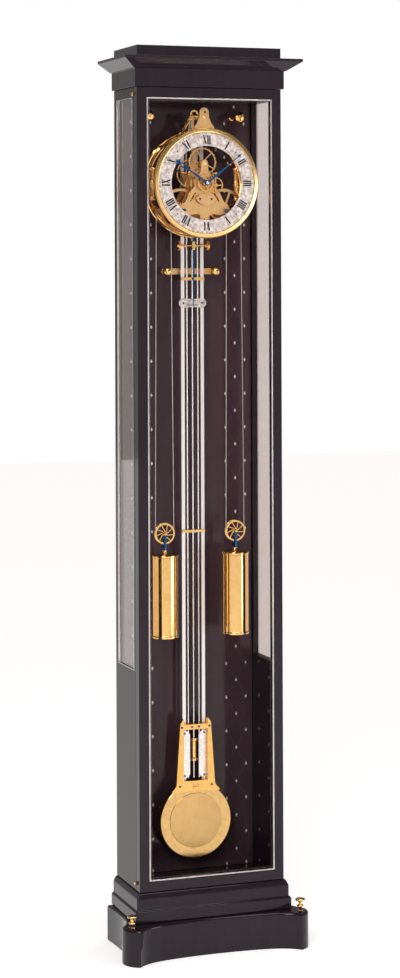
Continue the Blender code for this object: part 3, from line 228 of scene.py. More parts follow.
# each finish: dark and light tones, their patch size, the stretch of the grain, roughness range, relief,
# metal, and where it differs from the rest its gloss, the share of clouds in its tone and their contrast
looks = {
    "lacquer": ((0.012, 0.006, 0.011), (0.02, 0.0115, 0.0175), 9, (60, 60, 7), (0.03, 0.09), 0.012, 0,
                {"gloss": 0.3}),
    # a lighter, less glossy copy of the case lacquer: its lighter tone is painted light on the left side
    # panel
    "sideLacquerPaintedLight": ((0.026, 0.018, 0.0205), (0.036, 0.0255, 0.0285), 9, (60, 60, 7), (0.05, 0.12), 0.004, 0,
                    {"gloss": 0.145}),
    "backLacquer": ((0.046, 0.0255, 0.0335), (0.065, 0.037, 0.047), 7, (60, 60, 7), (0.05, 0.11), 0.008, 0,
                    {"gloss": 0.26}),
    "polishedBrass": ((0.86, 0.51, 0.175), (0.98, 0.63, 0.25), 30, (90, 90, 90), (0.05, 0.15), 0.015, 1),
    "bezelBrass": ((0.93, 0.6, 0.23), (1.0, 0.72, 0.33), 30, (300, 300, 300), (0.17, 0.27), 0.02, 1),
    "satinBrass": ((0.74, 0.43, 0.18), (0.88, 0.56, 0.27), 40, (900, 900, 60), (0.27, 0.42), 0.12, 1),
    "faceBrass": ((0.65, 0.4, 0.15), (0.77, 0.5, 0.21), 40, (900, 900, 60), (0.27, 0.42), 0.08, 1),
    "rimBrass": ((0.62, 0.385, 0.15), (0.76, 0.49, 0.2), 12, (90, 90, 90), (0.08, 0.18), 0.012, 1),
    "gildedBrass": ((0.8, 0.45, 0.125), (0.92, 0.56, 0.19), 40, (500, 500, 90), (0.16, 0.3), 0.05, 1),
    "silvered": ((0.43, 0.355, 0.33), (0.87, 0.8, 0.77), 150, (620, 620, 620), (0.38, 0.6), 0.15, 0.3,
                 {"clouds": 0.85, "contrast": 3.2}),
    "frosted": ((0.78, 0.72, 0.68), (1.0, 0.98, 0.95), 210, (420, 420, 420), (0.22, 0.36), 0.7, 1,
                {"clouds": 0.6, "contrast": 4.5}),
    "polishedSteel": ((0.72, 0.69, 0.68), (0.86, 0.83, 0.82), 25, (140, 140, 140), (0.1, 0.24), 0.015, 1),
    "brushedSteel": ((0.84, 0.795, 0.785), (0.95, 0.91, 0.9), 25, (700, 700, 12), (0.3, 0.42), 0.03, 1),
    "nickelBead": ((0.46, 0.42, 0.415), (0.66, 0.615, 0.61), 30, (90, 90, 30), (0.14, 0.28), 0.015, 1),
    "blueSteel": ((0.016, 0.075, 0.21), (0.035, 0.155, 0.38), 60, (300, 300, 300), (0.12, 0.26), 0.02, 1),
    "ink": ((0.005, 0.004, 0.006), (0.014, 0.012, 0.016), 90, (400, 400, 400), (0.5, 0.7), 0.05, 0,
            {"gloss": 0.15}),
    "pearl": ((0.55, 0.51, 0.5), (0.92, 0.88, 0.86), 200, (500, 500, 500), (0.2, 0.35), 0.03, 0.2),
    "wireLine": ((0.4, 0.36, 0.32), (0.66, 0.62, 0.58), 80, (300, 300, 900), (0.35, 0.5), 0.2, 0.6),
}
lattice = {"middle": 0.0025, "first": 0.0879, "across": 0.0235, "up": 0.0763, "row": 1.5144, "line": 0.008,
           "tone": (0.12, 0.095, 0.1, 1), "share": 0.55, "clearTop": 0.012, "clearFoot": 0.0048}


def makeFinish(name):
    dark, light, patch, stretch, (low, high), relief, metal, *extras = looks[name]
    look = extras[0] if extras else {}
    material, start = newMaterial(name)
    tree = material.node_tree
    place = start.node("TexCoord", out="Object")
    stretched = start.node("Mapping", {}, {"Vector": place, "Scale": stretch})
    cloud = start.node("TexNoise", {}, {"Vector": place, "Scale": patch, "Detail": 3.0})
    grain = start.node("TexNoise", {}, {"Vector": stretched, "Scale": 1.0, "Detail": 3.0})
    share = look.get("clouds", 0.5)
    tone = (cloud * share + grain * (1 - share) - 0.5) * look.get("contrast", 2.6) + 0.5
    wear = start.node("TexNoise", {}, {"Vector": place, "Scale": patch * 2.3, "Detail": 6.0})
    colour = start.node("Mix", {"data_type": "RGBA"}, {0: tone, 6: (*dark, 1), 7: (*light, 1)}, 2)
    rough = (wear * 0.7 + grain * 0.3) * (high - low) + low
    height = grain
    if name == "backLacquer":      # fine incised lines that run from inlay to inlay
        parts = start.node("SeparateXYZ", {}, {0: place})
        up = (parts.part(2) - lattice["row"]) * (1 / lattice["up"])
        side = (abs(parts - lattice["middle"]) - lattice["first"]) * (0.5 / lattice["across"])
        inside = (side > -0.02) * (side < 1.02)
        rising = abs(start.sum("PINGPONG", side + up, 0.5)) < lattice["line"]
        falling = abs(start.sum("PINGPONG", side - up, 0.5)) < lattice["line"]
        cut = start.sum("MAXIMUM", rising, falling) * inside
        share = cut * lattice["share"]
        colour = start.node("Mix", {"data_type": "RGBA"}, {0: share, 6: colour, 7: lattice["tone"]}, 2)
        height = grain - cut * 2.0
    bump = start.node("Bump", {}, {"Strength": relief, "Distance": 0.0006, "Height": height})
    shader = tree.nodes["Principled BSDF"]
    shader.inputs["Metallic"].default_value = metal
    shader.inputs["Specular IOR Level"].default_value = look.get("gloss", 0.5)
    tree.links.new(colour.socket, shader.inputs["Base Color"])
    tree.links.new(rough.socket, shader.inputs["Roughness"])
    tree.links.new(bump.socket, shader.inputs["Normal"])
    return material


def makeGlass(name, tint, haze, blur):
    material, start = newMaterial(name)
    material.node_tree.nodes.clear()
    place = start.node("TexCoord", out="Object")
    smear = start.node("TexNoise", {}, {"Vector": place, "Scale": 6.0, "Detail": 5.0})
    clear = start.node("BsdfTransparent", {}, {"Color": (*tint, 1)})
    sheen = start.node("BsdfGlossy", {}, {"Color": (0.96, 0.97, 0.97, 1), "Roughness": smear * blur})
    glance = start.node("LayerWeight", {}, {"Blend": 0.5}, "Facing")
    share = start.sum("POWER", glance, 5.0) * 1.5 + haze
    both = start.node("MixShader", {}, {0: share, 1: clear, 2: sheen})
    start.node("OutputMaterial", {}, {"Surface": both})
    return material


# tint, haze and blur of each glass
glasses = {
    "glass": ((0.985, 0.982, 0.978), 0.0, 0.04),
    "sideGlass": ((0.914, 0.86, 0.845), 0.006, 0.04),
    "bevelGlass": ((0.985, 0.982, 0.978), 0.06, 0.7),
}
finishes = {name: makeFinish(name) for name in looks}
for name, (tint, haze, blur) in glasses.items():
    finishes[name] = makeGlass(name, tint, haze, blur)
# the finishes of each slot, its plain one first
slotFinishes = {
    "lacquer": ("lacquer", "sideLacquerPaintedLight", "backLacquer"),
    "brass": ("polishedBrass", "bezelBrass", "rimBrass"),
    "satin_brass": ("satinBrass", "faceBrass", "gildedBrass"),
    "silvered": ("silvered", "frosted", "pearl"),
    "steel": ("polishedSteel", "brushedSteel", "nickelBead"),
    "blued_steel": ("blueSteel", "ink"),
    "glass": ("glass",),
    "gut": ("wireLine",),
}
print("finishes made:", len(finishes))


def corners(node):
    low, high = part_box(node)
    return Vector(low), Vector(high)


def middle(node):
    low, high = corners(node)
    return (low + high) / 2


faceY = corners("door_frame")[0].y
dial = middle("chapter_ring")


def deep(depth):
    return faceY + depth


def depths(node):
    low, high = corners(node)
    return low.y - faceY, high.y - faceY


# a drawing in the XY plane stands up to face the front, its top upwards and its back to the wall
def facing(x=0.0, z=0.0, depth=0.0):
    return at(x, deep(depth), z) @ turned(90, "X")


def onDial(depth, x=0.0, z=0.0):
    return facing(x, dial.z + z, depth)


def addTo(bm, shape, place=Matrix()):
    bmesh.ops.recalc_face_normals(shape, faces=shape.faces)
    bmesh.ops.transform(shape, matrix=place, verts=shape.verts)
    spare = bpy.data.meshes.new("spare")
    shape.to_mesh(spare)
    shape.free()
    bm.from_mesh(spare)
    bpy.data.meshes.remove(spare)
    return bm


def ease(bm, edges, width, segments):
    bmesh.ops.bevel(bm, geom=edges, offset=width, offset_type="OFFSET", affect="EDGES", segments=segments,
                    profile=0.5, material=-1, clamp_overlap=True)


def soften(bm, width, segments=2, least=35):
    ease(bm, [edge for edge in bm.edges if edge.calc_face_angle(0) > math.radians(least)], width, segments)
    return bm


def showPiece(bm, name, finish, body, hides=(), place=None, least=38):
    bmesh.ops.remove_doubles(bm, verts=bm.verts, dist=1e-6)
    if place is not None:
        bmesh.ops.transform(bm, matrix=place, verts=bm.verts)
    bmesh.ops.recalc_face_normals(bm, faces=bm.faces)
    for edge in bm.edges:
        edge.smooth = edge.calc_face_angle(0) < math.radians(least)
    for face in bm.faces:
        face.smooth = True
    mesh = bpy.data.meshes.new(name)
    bm.to_mesh(mesh)
    bm.free()
    mesh.materials.append(finishes[finish])
    piece = bpy.data.objects.new(name, mesh)
    scene.collection.objects.link(piece)
    weigh = piece.modifiers.new("weigh", "WEIGHTED_NORMAL")      # flats stay flat beside eased edges
    weigh.keep_sharp = True
    if body:
        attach(piece, body)
    if hides:
        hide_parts(*hides)
    return piece


def nodeCopy(node):
    bm = bmesh.new()
    bm.from_mesh(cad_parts[node].data)
    bmesh.ops.remove_doubles(bm, verts=bm.verts, dist=2e-5)
    bmesh.ops.dissolve_limit(bm, angle_limit=math.radians(1), verts=bm.verts, edges=bm.edges)
    return bm


def turning(profile, steps=48):
    bm = bmesh.new()
    verts = [bm.verts.new((radius, 0, height)) for radius, height in profile]
    edges = [bm.edges.new(pair) for pair in zip(verts, verts[1:])]
    bmesh.ops.spin(bm, geom=verts + edges, axis=(0, 0, 1), cent=(0, 0, 0), dvec=(0, 0, 0),
                   angle=2 * math.pi, steps=steps, use_merge=True)
    bmesh.ops.remove_doubles(bm, verts=bm.verts, dist=1e-6)
    return bm


def ringTurning(profile, steps=48):
    return turning(profile + profile[:1], steps)


def block(low, high):
    bm = bmesh.new()
    low, high = Vector(low), Vector(high)
    size = Matrix.Diagonal((*(high - low), 1))
    bmesh.ops.create_cube(bm, size=1, matrix=at(*(low + high) / 2) @ size)
    return bm


def stick(start, end, radius, sides=16):
    bm = bmesh.new()
    start, end = Vector(start), Vector(end)
    turn = (end - start).to_track_quat("Z", "Y").to_matrix().to_4x4()
    bmesh.ops.create_cone(bm, cap_ends=True, segments=sides, radius1=radius, radius2=radius,
                          depth=(end - start).length, matrix=at(*(start + end) / 2) @ turn)
    return bm


def cutPlate(loops, thickness, easing=0.0, segments=2):      # front face at height 0
    bm = bmesh.new()
    edges = []
    for loop in loops:
        verts = [bm.verts.new((x, y, 0)) for x, y in loop]
        edges += [bm.edges.new((verts[i - 1], verts[i])) for i in range(len(verts))]
    bmesh.ops.triangle_fill(bm, use_beauty=True, edges=edges)
    bmesh.ops.dissolve_limit(bm, angle_limit=math.radians(1), verts=bm.verts, edges=bm.edges)
    grown = bmesh.ops.extrude_face_region(bm, geom=bm.faces[:], use_keep_orig=True)
    moved = [item for item in grown["geom"] if isinstance(item, bmesh.types.BMVert)]
    bmesh.ops.translate(bm, verts=moved, vec=(0, 0, -thickness))
    bmesh.ops.recalc_face_normals(bm, faces=bm.faces)
    if easing:
        rims = [edge for edge in bm.edges if edge.calc_face_angle(0) > math.radians(50)
                and abs(edge.verts[0].co.z - edge.verts[1].co.z) < 1e-7]
        ease(bm, rims, easing, segments)
    return bm


def mm(*points):      # points drawn in millimetres
    return [(x / 1000, y / 1000) for x, y in points]


def polar(radius, angle):
    return radius * math.cos(math.radians(angle)), radius * math.sin(math.radians(angle))


def arc(x, y, radius, start, stop, count):
    steps = [math.radians(start + (stop - start) * i / count) for i in range(count + 1)]
    return [(x + radius * math.cos(a), y + radius * math.sin(a)) for a in steps]


def disc(x, y, radius, count=32):
    return arc(x, y, radius, 0, 360, count)[:-1]


def slab(x0, y0, x1, y1, corner=0.0, count=4):
    if not corner:
        return [(x0, y0), (x1, y0), (x1, y1), (x0, y1)]
    return (arc(x1 - corner, y1 - corner, corner, 0, 90, count)
            + arc(x0 + corner, y1 - corner, corner, 90, 180, count)
            + arc(x0 + corner, y0 + corner, corner, 180, 270, count)
            + arc(x1 - corner, y0 + corner, corner, 270, 360, count))


def bothSides(half):      # a right-hand outline from bottom to top, closed by its mirror image
    return half + [(-x, y) for x, y in reversed(half) if x > 1e-6]


def bothEnds(half):      # an upper profile, ended by its mirror image
    return half + [(r, -z) for r, z in reversed(half) if z > 1e-6]


def toothed(radius, teeth, height):
    points = []
    for i in range(teeth):
        turn = 360 * i / teeth
        for share, reach in ((-0.25, -height), (-0.14, 0), (0.14, 0), (0.25, -height)):
            points.append(polar(radius + reach, turn + share * 360 / teeth))
    return points


def spokeGaps(inner, outer, count, width, turn=0.0, sweep=0.0):
    gaps = []
    for i in range(count):
        start = turn + 360 * i / count
        stop = start + 360 / count
        low = math.degrees(math.asin(width / 2 / inner))
        high = math.degrees(math.asin(width / 2 / outer))
        far = arc(0, 0, outer, start + high + sweep, stop - high + sweep, 8)
        near = arc(0, 0, inner, stop - low, start + low, 4)
        if sweep:
            mid = (inner + outer) / 2
            bend = math.degrees(math.asin(width / 2 / mid))
            far = [polar(mid, start + bend + sweep * 0.75)] + far + [polar(mid, stop - bend + sweep * 0.75)]
        gaps.append(far + near)
    return gaps


def screwHead(radius):      # slotted, on its own low collar
    bm = turning([(0, radius * 0.5), (radius * 0.8, radius * 0.5), (radius, radius * 0.3),
                  (radius, -radius * 0.4), (0, -radius * 0.4)], 14)
    half = arc(0, 0, radius * 0.92, 8, 172, 7)
    for turn in (35, 215):
        addTo(bm, cutPlate([half], radius * 0.3), turned(turn) @ at(0, 0, radius * 0.75))
    return bm


def screwSet(name, body, places, radius, finish="blueSteel"):      # places are matrices that face outwards
    bm = bmesh.new()
    for place in places:
        addTo(bm, screwHead(radius), place)
    return showPiece(bm, name, finish, body)


# nodes that keep their own solid and take a finish that is not the plain one of their slot
plainNodes = {"side_glass_left": "sideGlass", "side_glass_right": "sideGlass",
              "level_pad_left": "satinBrass", "level_pad_right": "satinBrass"}
sides = {"left": -1, "right": 1}


def dressNodes():
    for name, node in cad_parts.items():
        for holder in node.material_slots:
            slotName = holder.material.name.split(".")[0]
            holder.material = finishes[plainNodes.get(name, slotFinishes[slotName][0])]


dressNodes()
print("nodes dressed")

case = {"edge": 0.0009, "mouldEdge": 0.0028, "plinthTop": 0.0055, "plinthFoot": 0.0065, "bead": 0.0011,
        "paneBorder": 0.011, "paneFall": 0.0022, "trimWidth": 0.0018, "trimProud": 0.0004,
        "trimGap": 0.0003, "padGap": 0.002}


def makeCase():
    bm = nodeCopy("plinth")
    low, high = corners("plinth")
    feet = [middle("level_pad_" + side) for side in sides]
    padReach = corners("level_pad_left")[1].x - feet[0].x + case["padGap"]

    def rim(height):
        chosen = []
        for edge in bm.edges:
            centre = (edge.verts[0].co + edge.verts[1].co) / 2
            clear = all((centre - foot).xy.length > padReach for foot in feet)
            sharp = edge.calc_face_angle(0) > 1
            if sharp and clear and all(abs(vert.co.z - height) < 1e-5 for vert in edge.verts):
                chosen.append(edge)
        return chosen

    for height, width in ((high.z, case["plinthTop"]), (low.z, case["plinthFoot"])):
        ease(bm, rim(height), width, 4)
    showPiece(bm, "plinth_rounded", "lacquer", "case", ["plinth"], least=30)

    for node in ("base_moulding", "side_panel_left", "side_panel_right", "cornice", "crown_block"):
        edge = case["mouldEdge" if node == "base_moulding" else "edge"]
        # only the left side panel takes the lighter copy of the lacquer, which paints light onto that side
        finish = "sideLacquerPaintedLight" if node == "side_panel_left" else "lacquer"
        showPiece(soften(nodeCopy(node), edge, 3, 12), node + "_eased", finish, "case", [node], least=30)
    for node, finish, body in (("back_panel", "backLacquer", "case"), ("door_frame", "lacquer", "door")):
        showPiece(soften(nodeCopy(node), case["edge"]), node + "_eased", finish, body, [node], least=30)
    bead = soften(nodeCopy("door_trim"), case["bead"], 3)
    showPiece(bead, "door_bead", "nickelBead", "door", ["door_trim"], least=50)

    low, high = corners("door_glass")
    pane = block(low, high)
    frontFace = min(pane.faces, key=lambda face: face.calc_center_median().y)
    rimVerts = list(frontFace.verts)
    bmesh.ops.inset_individual(pane, faces=[frontFace], thickness=case["paneBorder"])
    bmesh.ops.translate(pane, verts=rimVerts, vec=(0, case["paneFall"], 0))
    pane.normal_update()
    pane.faces.ensure_lookup_table()
    for face in pane.faces:
        face.material_index = 1 if 0.01 < abs(face.normal.y) < 0.999 else 0
    piece = showPiece(pane, "door_pane", "glass", "door", ["door_glass"], least=3)
    piece.data.materials.append(finishes["bevelGlass"])

    for node in ("hinge_upper", "hinge_lower"):
        low, high = corners(node)
        r = (high.x - low.x) / 2
        tall = high.z - low.z
        half = [(0, tall / 2), (r * 0.6, tall / 2), (r * 0.86, tall / 2 - 0.0006)]
        bm = turning([(x, z + tall / 2) for x, z in bothEnds(half)], 20)
        addTo(bm, block((0, -0.0008, 0.0012), (r, 0.0016, tall - 0.0012)))
        showPiece(bm, node + "_turned", "faceBrass", "door", [node], at(low.x + r, low.y + r, low.z))

    for side, sign in sides.items():
        low, high = corners("side_glass_" + side)
        end = 0 if sign < 0 else 1
        outside = corners("side_panel_" + side)[end].x
        reach = abs(outside - (low, high)[end].x) + case["trimProud"]
        loops = []
        for inset in (case["trimGap"], case["trimWidth"]):
            loops.append(slab(low.y + inset, low.z + inset, high.y - inset, high.z - inset))
        face = outside + sign * case["trimProud"]
        stand = Matrix(((0, 0, sign, face), (1, 0, 0, 0), (0, 1, 0, 0), (0, 0, 0, 1)))
        trim = cutPlate(loops, reach, case["trimProud"])
        showPiece(trim, "window_trim_" + side, "polishedSteel", "case", place=stand)


def makeInlays():
    low, high = corners("back_panel")
    bm = bmesh.new()
    lens = mm((2.6, 0), (1.2, 2), (0, 4.4), (-1.2, 2))
    lens += [(-x, -y) for x, y in lens]
    row = math.floor((low.z - 0.01 - lattice["row"]) / lattice["up"]) + 1
    while lattice["row"] + row * lattice["up"] < high.z - 0.02:
        for column in range(3):
            z = lattice["row"] + (row + (0.5 if column == 1 else 0)) * lattice["up"]
            if z > high.z - lattice["clearTop"]:
                continue
            z = max(z, low.z + lattice["clearFoot"])
            for sign in (-1, 1):
                x = lattice["middle"] + sign * (lattice["first"] + column * lattice["across"])
                addTo(bm, cutPlate([lens], 0.0006), at(x, low.y - 0.0003, z) @ turned(90, "X"))
        row += 1
    showPiece(bm, "diamond_inlays", "pearl", "case")


makeCase()
makeInlays()
print("case made")

dialShape = {"steps": 128, "numeralLow": 0.0853, "numeralHigh": 0.1046, "thick": 0.0031, "thin": 0.0011,
             "serif": 0.0005, "narrow": 0.0046, "wide": 0.0104, "dotRadius": 0.1082, "dot": 0.0007,
             "hourDot": 0.0011, "inkHeight": 0.00025, "screwRadius": 0.0963, "screw": 0.0015,
             "edge": 0.0004, "hole": 0.0816, "milledTeeth": 150, "milledHigh": 0.0011, "milledWide": 0.003,
             "milledDepth": 0.0217}
numerals = ("XII", "I", "II", "III", "IIII", "V", "VI", "VII", "VIII", "IX", "X", "XI")


def stroke(bm, start, end, width, place):
    (x0, y0), (x1, y1) = start, end
    loop = [(x0 - width / 2, y0), (x0 + width / 2, y0), (x1 + width / 2, y1), (x1 - width / 2, y1)]
    addTo(bm, cutPlate([loop], dialShape["inkHeight"]), place)
    foot = width / 2 + dialShape["serif"]
    for x, y in ((x0, 0), (x1, y1 - dialShape["serif"])):
        serif = slab(x - foot, y, x + foot, y + dialShape["serif"])
        addTo(bm, cutPlate([serif], dialShape["inkHeight"]), place)


def makeDial():
    outer = corners("chapter_ring")[1].x
    depth, back = depths("chapter_ring")
    loops = [disc(0, 0, radius, dialShape["steps"]) for radius in (outer, dialShape["hole"])]
    ring = cutPlate(loops, back - depth, dialShape["edge"])
    showPiece(ring, "chapter_ring_engraved", "silvered", "case", ["chapter_ring"], onDial(depth))

    ink = bmesh.new()
    tall = dialShape["numeralHigh"] - dialShape["numeralLow"]
    half = {"I": dialShape["narrow"] / 2, "V": dialShape["wide"] / 2, "X": dialShape["wide"] / 2}
    thick, thin = dialShape["thick"], dialShape["thin"]
    lift = dialShape["inkHeight"] * 0.6
    for hour, word in enumerate(numerals):
        place = turned(-30 * hour) @ at(0, dialShape["numeralLow"], lift)
        span = sum(2 * half[letter] for letter in word)
        x = -span / 2
        for letter in word:
            reach = half[letter]
            x += reach
            lean = reach - thick * 0.75
            if letter == "I":
                stroke(ink, (x, 0), (x, tall), thick, place)
            elif letter == "V":
                stroke(ink, (x, 0), (x - lean, tall), thick, place)
                stroke(ink, (x, 0), (x + lean, tall), thin, place)
            else:
                stroke(ink, (x + lean, 0), (x - lean, tall), thick, place)
                stroke(ink, (x - lean, 0), (x + lean, tall), thin, place)
            x += reach
    for minute in range(60):
        radius = dialShape["hourDot"] if minute % 5 == 0 else dialShape["dot"]
        place = at(*polar(dialShape["dotRadius"], 90 - 6 * minute), lift)
        addTo(ink, cutPlate([disc(0, 0, radius, 8)], dialShape["inkHeight"]), place)
    showPiece(ink, "dial_markings", "ink", "case", place=onDial(depth))
    places = [onDial(depth, *polar(dialShape["screwRadius"], angle)) for angle in (45, 135, 225, 315)]
    screwSet("dial_screws", "case", places, dialShape["screw"], "ink")

    r = corners("bezel")[1].x
    front, rear = depths("bezel")
    profile = [(outer + 0.0003, -0.0223), (outer + 0.0003, -0.0197), (outer + 0.001, -0.0186),
               (outer + 0.0016, -front - 0.0002), (outer + 0.0022, -front),
               (outer + 0.003, -front - 0.0003), (outer + 0.0088, -front - 0.0014),
               (outer + 0.0096, -0.0198), (outer + 0.0099, -0.0208), (r - 0.0008, -0.0214),
               (r - 0.0008, -0.0262), (outer + 0.0024, -0.0262), (outer + 0.0024, -rear),
               (outer - 0.001, -rear), (outer - 0.001, -0.0252), (outer - 0.0035, -0.0252),
               (outer - 0.0035, -0.0223)]
    bezel = ringTurning(profile, dialShape["steps"])
    showPiece(bezel, "bezel_turned", "bezelBrass", "case", ["bezel"], onDial(0))
    teeth = toothed(r + 0.0003, dialShape["milledTeeth"], dialShape["milledHigh"])
    milled = cutPlate([teeth, disc(0, 0, r - 0.002, 64)], dialShape["milledWide"], 0.0002, 1)
    showPiece(milled, "bezel_milled_edge", "polishedBrass", "case", place=onDial(dialShape["milledDepth"]))


hands = {"hourTurn": 304, "hourDepth": 0.0155, "minuteTurn": 51, "minuteDepth": 0.0125, "thickness": 0.0015,
         "edge": 0.00035, "pipe": 0.0042, "bore": 0.0026}
hourWheel = {"radius": 0.0195, "teeth": 48, "toothHigh": 0.0013, "hub": 0.0066, "rim": 0.015, "spokes": 4,
             "width": 0.0032, "turn": 20, "depth": 0.0268, "thickness": 0.0018, "edge": 0.00015}


def makeHands():
    thick, edge = hands["thickness"], hands["edge"]
    half = mm((0, -5.8), (4, -4), (5.8, 0), (4, 4.2), (2, 9), (2.6, 28), (2.3, 44), (1.2, 62), (0.9, 91.5),
              (1.4, 93), (3.8, 95.6), (1.4, 98.2), (0.8, 99.6), (0.6, 103), (0, 104.3))
    minute = cutPlate([bothSides(half)], thick, edge)
    place = onDial(hands["minuteDepth"])
    turn = turned(-hands["minuteTurn"])
    showPiece(minute, "minute_hand_blued", "blueSteel", "centre", ["minute_hand"], place @ turn)
    cap = turning(mm((0, 2.2), (1.6, 2.1), (3.2, 1.5), (4, 0.5), (4.2, -0.4), (4.2, -1.8), (0, -1.8)), 32)
    addTo(cap, ringTurning(mm((1.6, 2.4), (2.4, 2.3), (2.4, 1.5), (1.6, 1.5)), 24))
    showPiece(cap, "hand_cap", "polishedSteel", "centre", place=place)

    bow = mm((0, 61.2), (2.1, 63.8), (2.8, 68), (2, 72.5), (0, 75.2))
    outline = bothSides(mm((0, -6.2), (4.4, -4.4), (6.2, 0), (4.4, 4.4), (2.4, 9), (2.2, 40), (1.9, 56),
                           (3.8, 61), (5.2, 68), (4, 74.5), (2.2, 77.2), (3.6, 79), (6.6, 82), (3.6, 84.2),
                           (1.8, 85), (0.8, 86.8), (0, 88)))
    hour = cutPlate([outline, bothSides(bow)], thick, edge)
    place = onDial(hands["hourDepth"]) @ turned(-hands["hourTurn"])
    showPiece(hour, "hour_hand_blued", "blueSteel", "hour", ["hour_hand"], place)
    wheel, bore = hourWheel, hands["bore"]
    near, far = -hands["hourDepth"], -wheel["depth"]
    pipe = ringTurning(slab(bore, far, hands["pipe"], near), 32)
    loops = [toothed(wheel["radius"], wheel["teeth"], wheel["toothHigh"]), disc(0, 0, bore, 24)]
    loops += spokeGaps(wheel["hub"], wheel["rim"], wheel["spokes"], wheel["width"], wheel["turn"])
    addTo(pipe, cutPlate(loops, wheel["thickness"], wheel["edge"], 1), at(0, 0, far))
    showPiece(pipe, "hour_wheel", "polishedBrass", "hour", place=onDial(0))


# wheels of the train; an arbor gives its radius and front end, a pinion its radius, leaves, front and back
arborFront, arborBack = 0.0368, 0.1003
greatWheel = {"radius": 0.0489, "teeth": 96, "depth": 0.0498, "rim": 0.0068, "spokes": 6, "width": 0.005,
              "hub": 0.01, "turn": 10, "bore": 0.0033}
train = {
    "centre_wheel": {"body": "centre", "radius": 0.0311, "teeth": 80, "depth": 0.0412, "rim": 0.0032,
                     "spokes": 5, "width": 0.0024, "hub": 0.0055, "turn": 12, "arbor": (0.0025, 0.0143),
                     "pinion": (0.004, 8, 0.0377, 0.0409)},
    "third_wheel": {"body": "third", "radius": 0.0314, "teeth": 60, "depth": 0.0558, "rim": 0.003,
                    "spokes": 5, "width": 0.0022, "hub": 0.005, "turn": 30, "arbor": (0.0015, arborFront),
                    "pinion": (0.0029, 8, 0.0407, 0.044)},
    "intermediate_wheel": {"body": "intermediate", "radius": 0.0316, "teeth": 60, "depth": 0.0382,
                           "rim": 0.0034, "spokes": 5, "width": 0.0026, "hub": 0.006, "turn": 0,
                           "arbor": (0.0015, arborFront), "pinion": (0.0059, 10, 0.0493, 0.0526)},
    "great_wheel_left": {"body": "great_left", **greatWheel},
    "great_wheel_right": {"body": "great_right", **greatWheel},
    "minute_wheel": {"body": "minute_work", "radius": 0.0183, "teeth": 44, "depth": 0.03, "rim": 0.003,
                     "spokes": 4, "width": 0.0028, "hub": 0.005, "turn": 0, "bore": 0.0018,
                     "thickness": 0.0018, "pinion": (0.0048, 12, 0.0268, 0.03)},
}
escape = {"radius": 0.0333, "root": 0.0313, "teeth": 24, "rim": 0.0286, "hub": 0.0048, "spokes": 5,
          "width": 0.0021, "turn": 43, "depth": 0.0466, "arbor": 0.0015, "pinionDepth": 0.0552}
barrel = {"front": 0.057, "back": 0.087, "radius": 0.015, "groove": 0.0009, "pitch": 0.0022, "arbor": 0.003,
          "arborFront": 0.034, "squareHalf": 0.0022, "squareLong": 0.0142, "squareFront": 0.02,
          "squareTurn": 20}
wheelEdge, wheelThickness = 0.00012, 0.0022


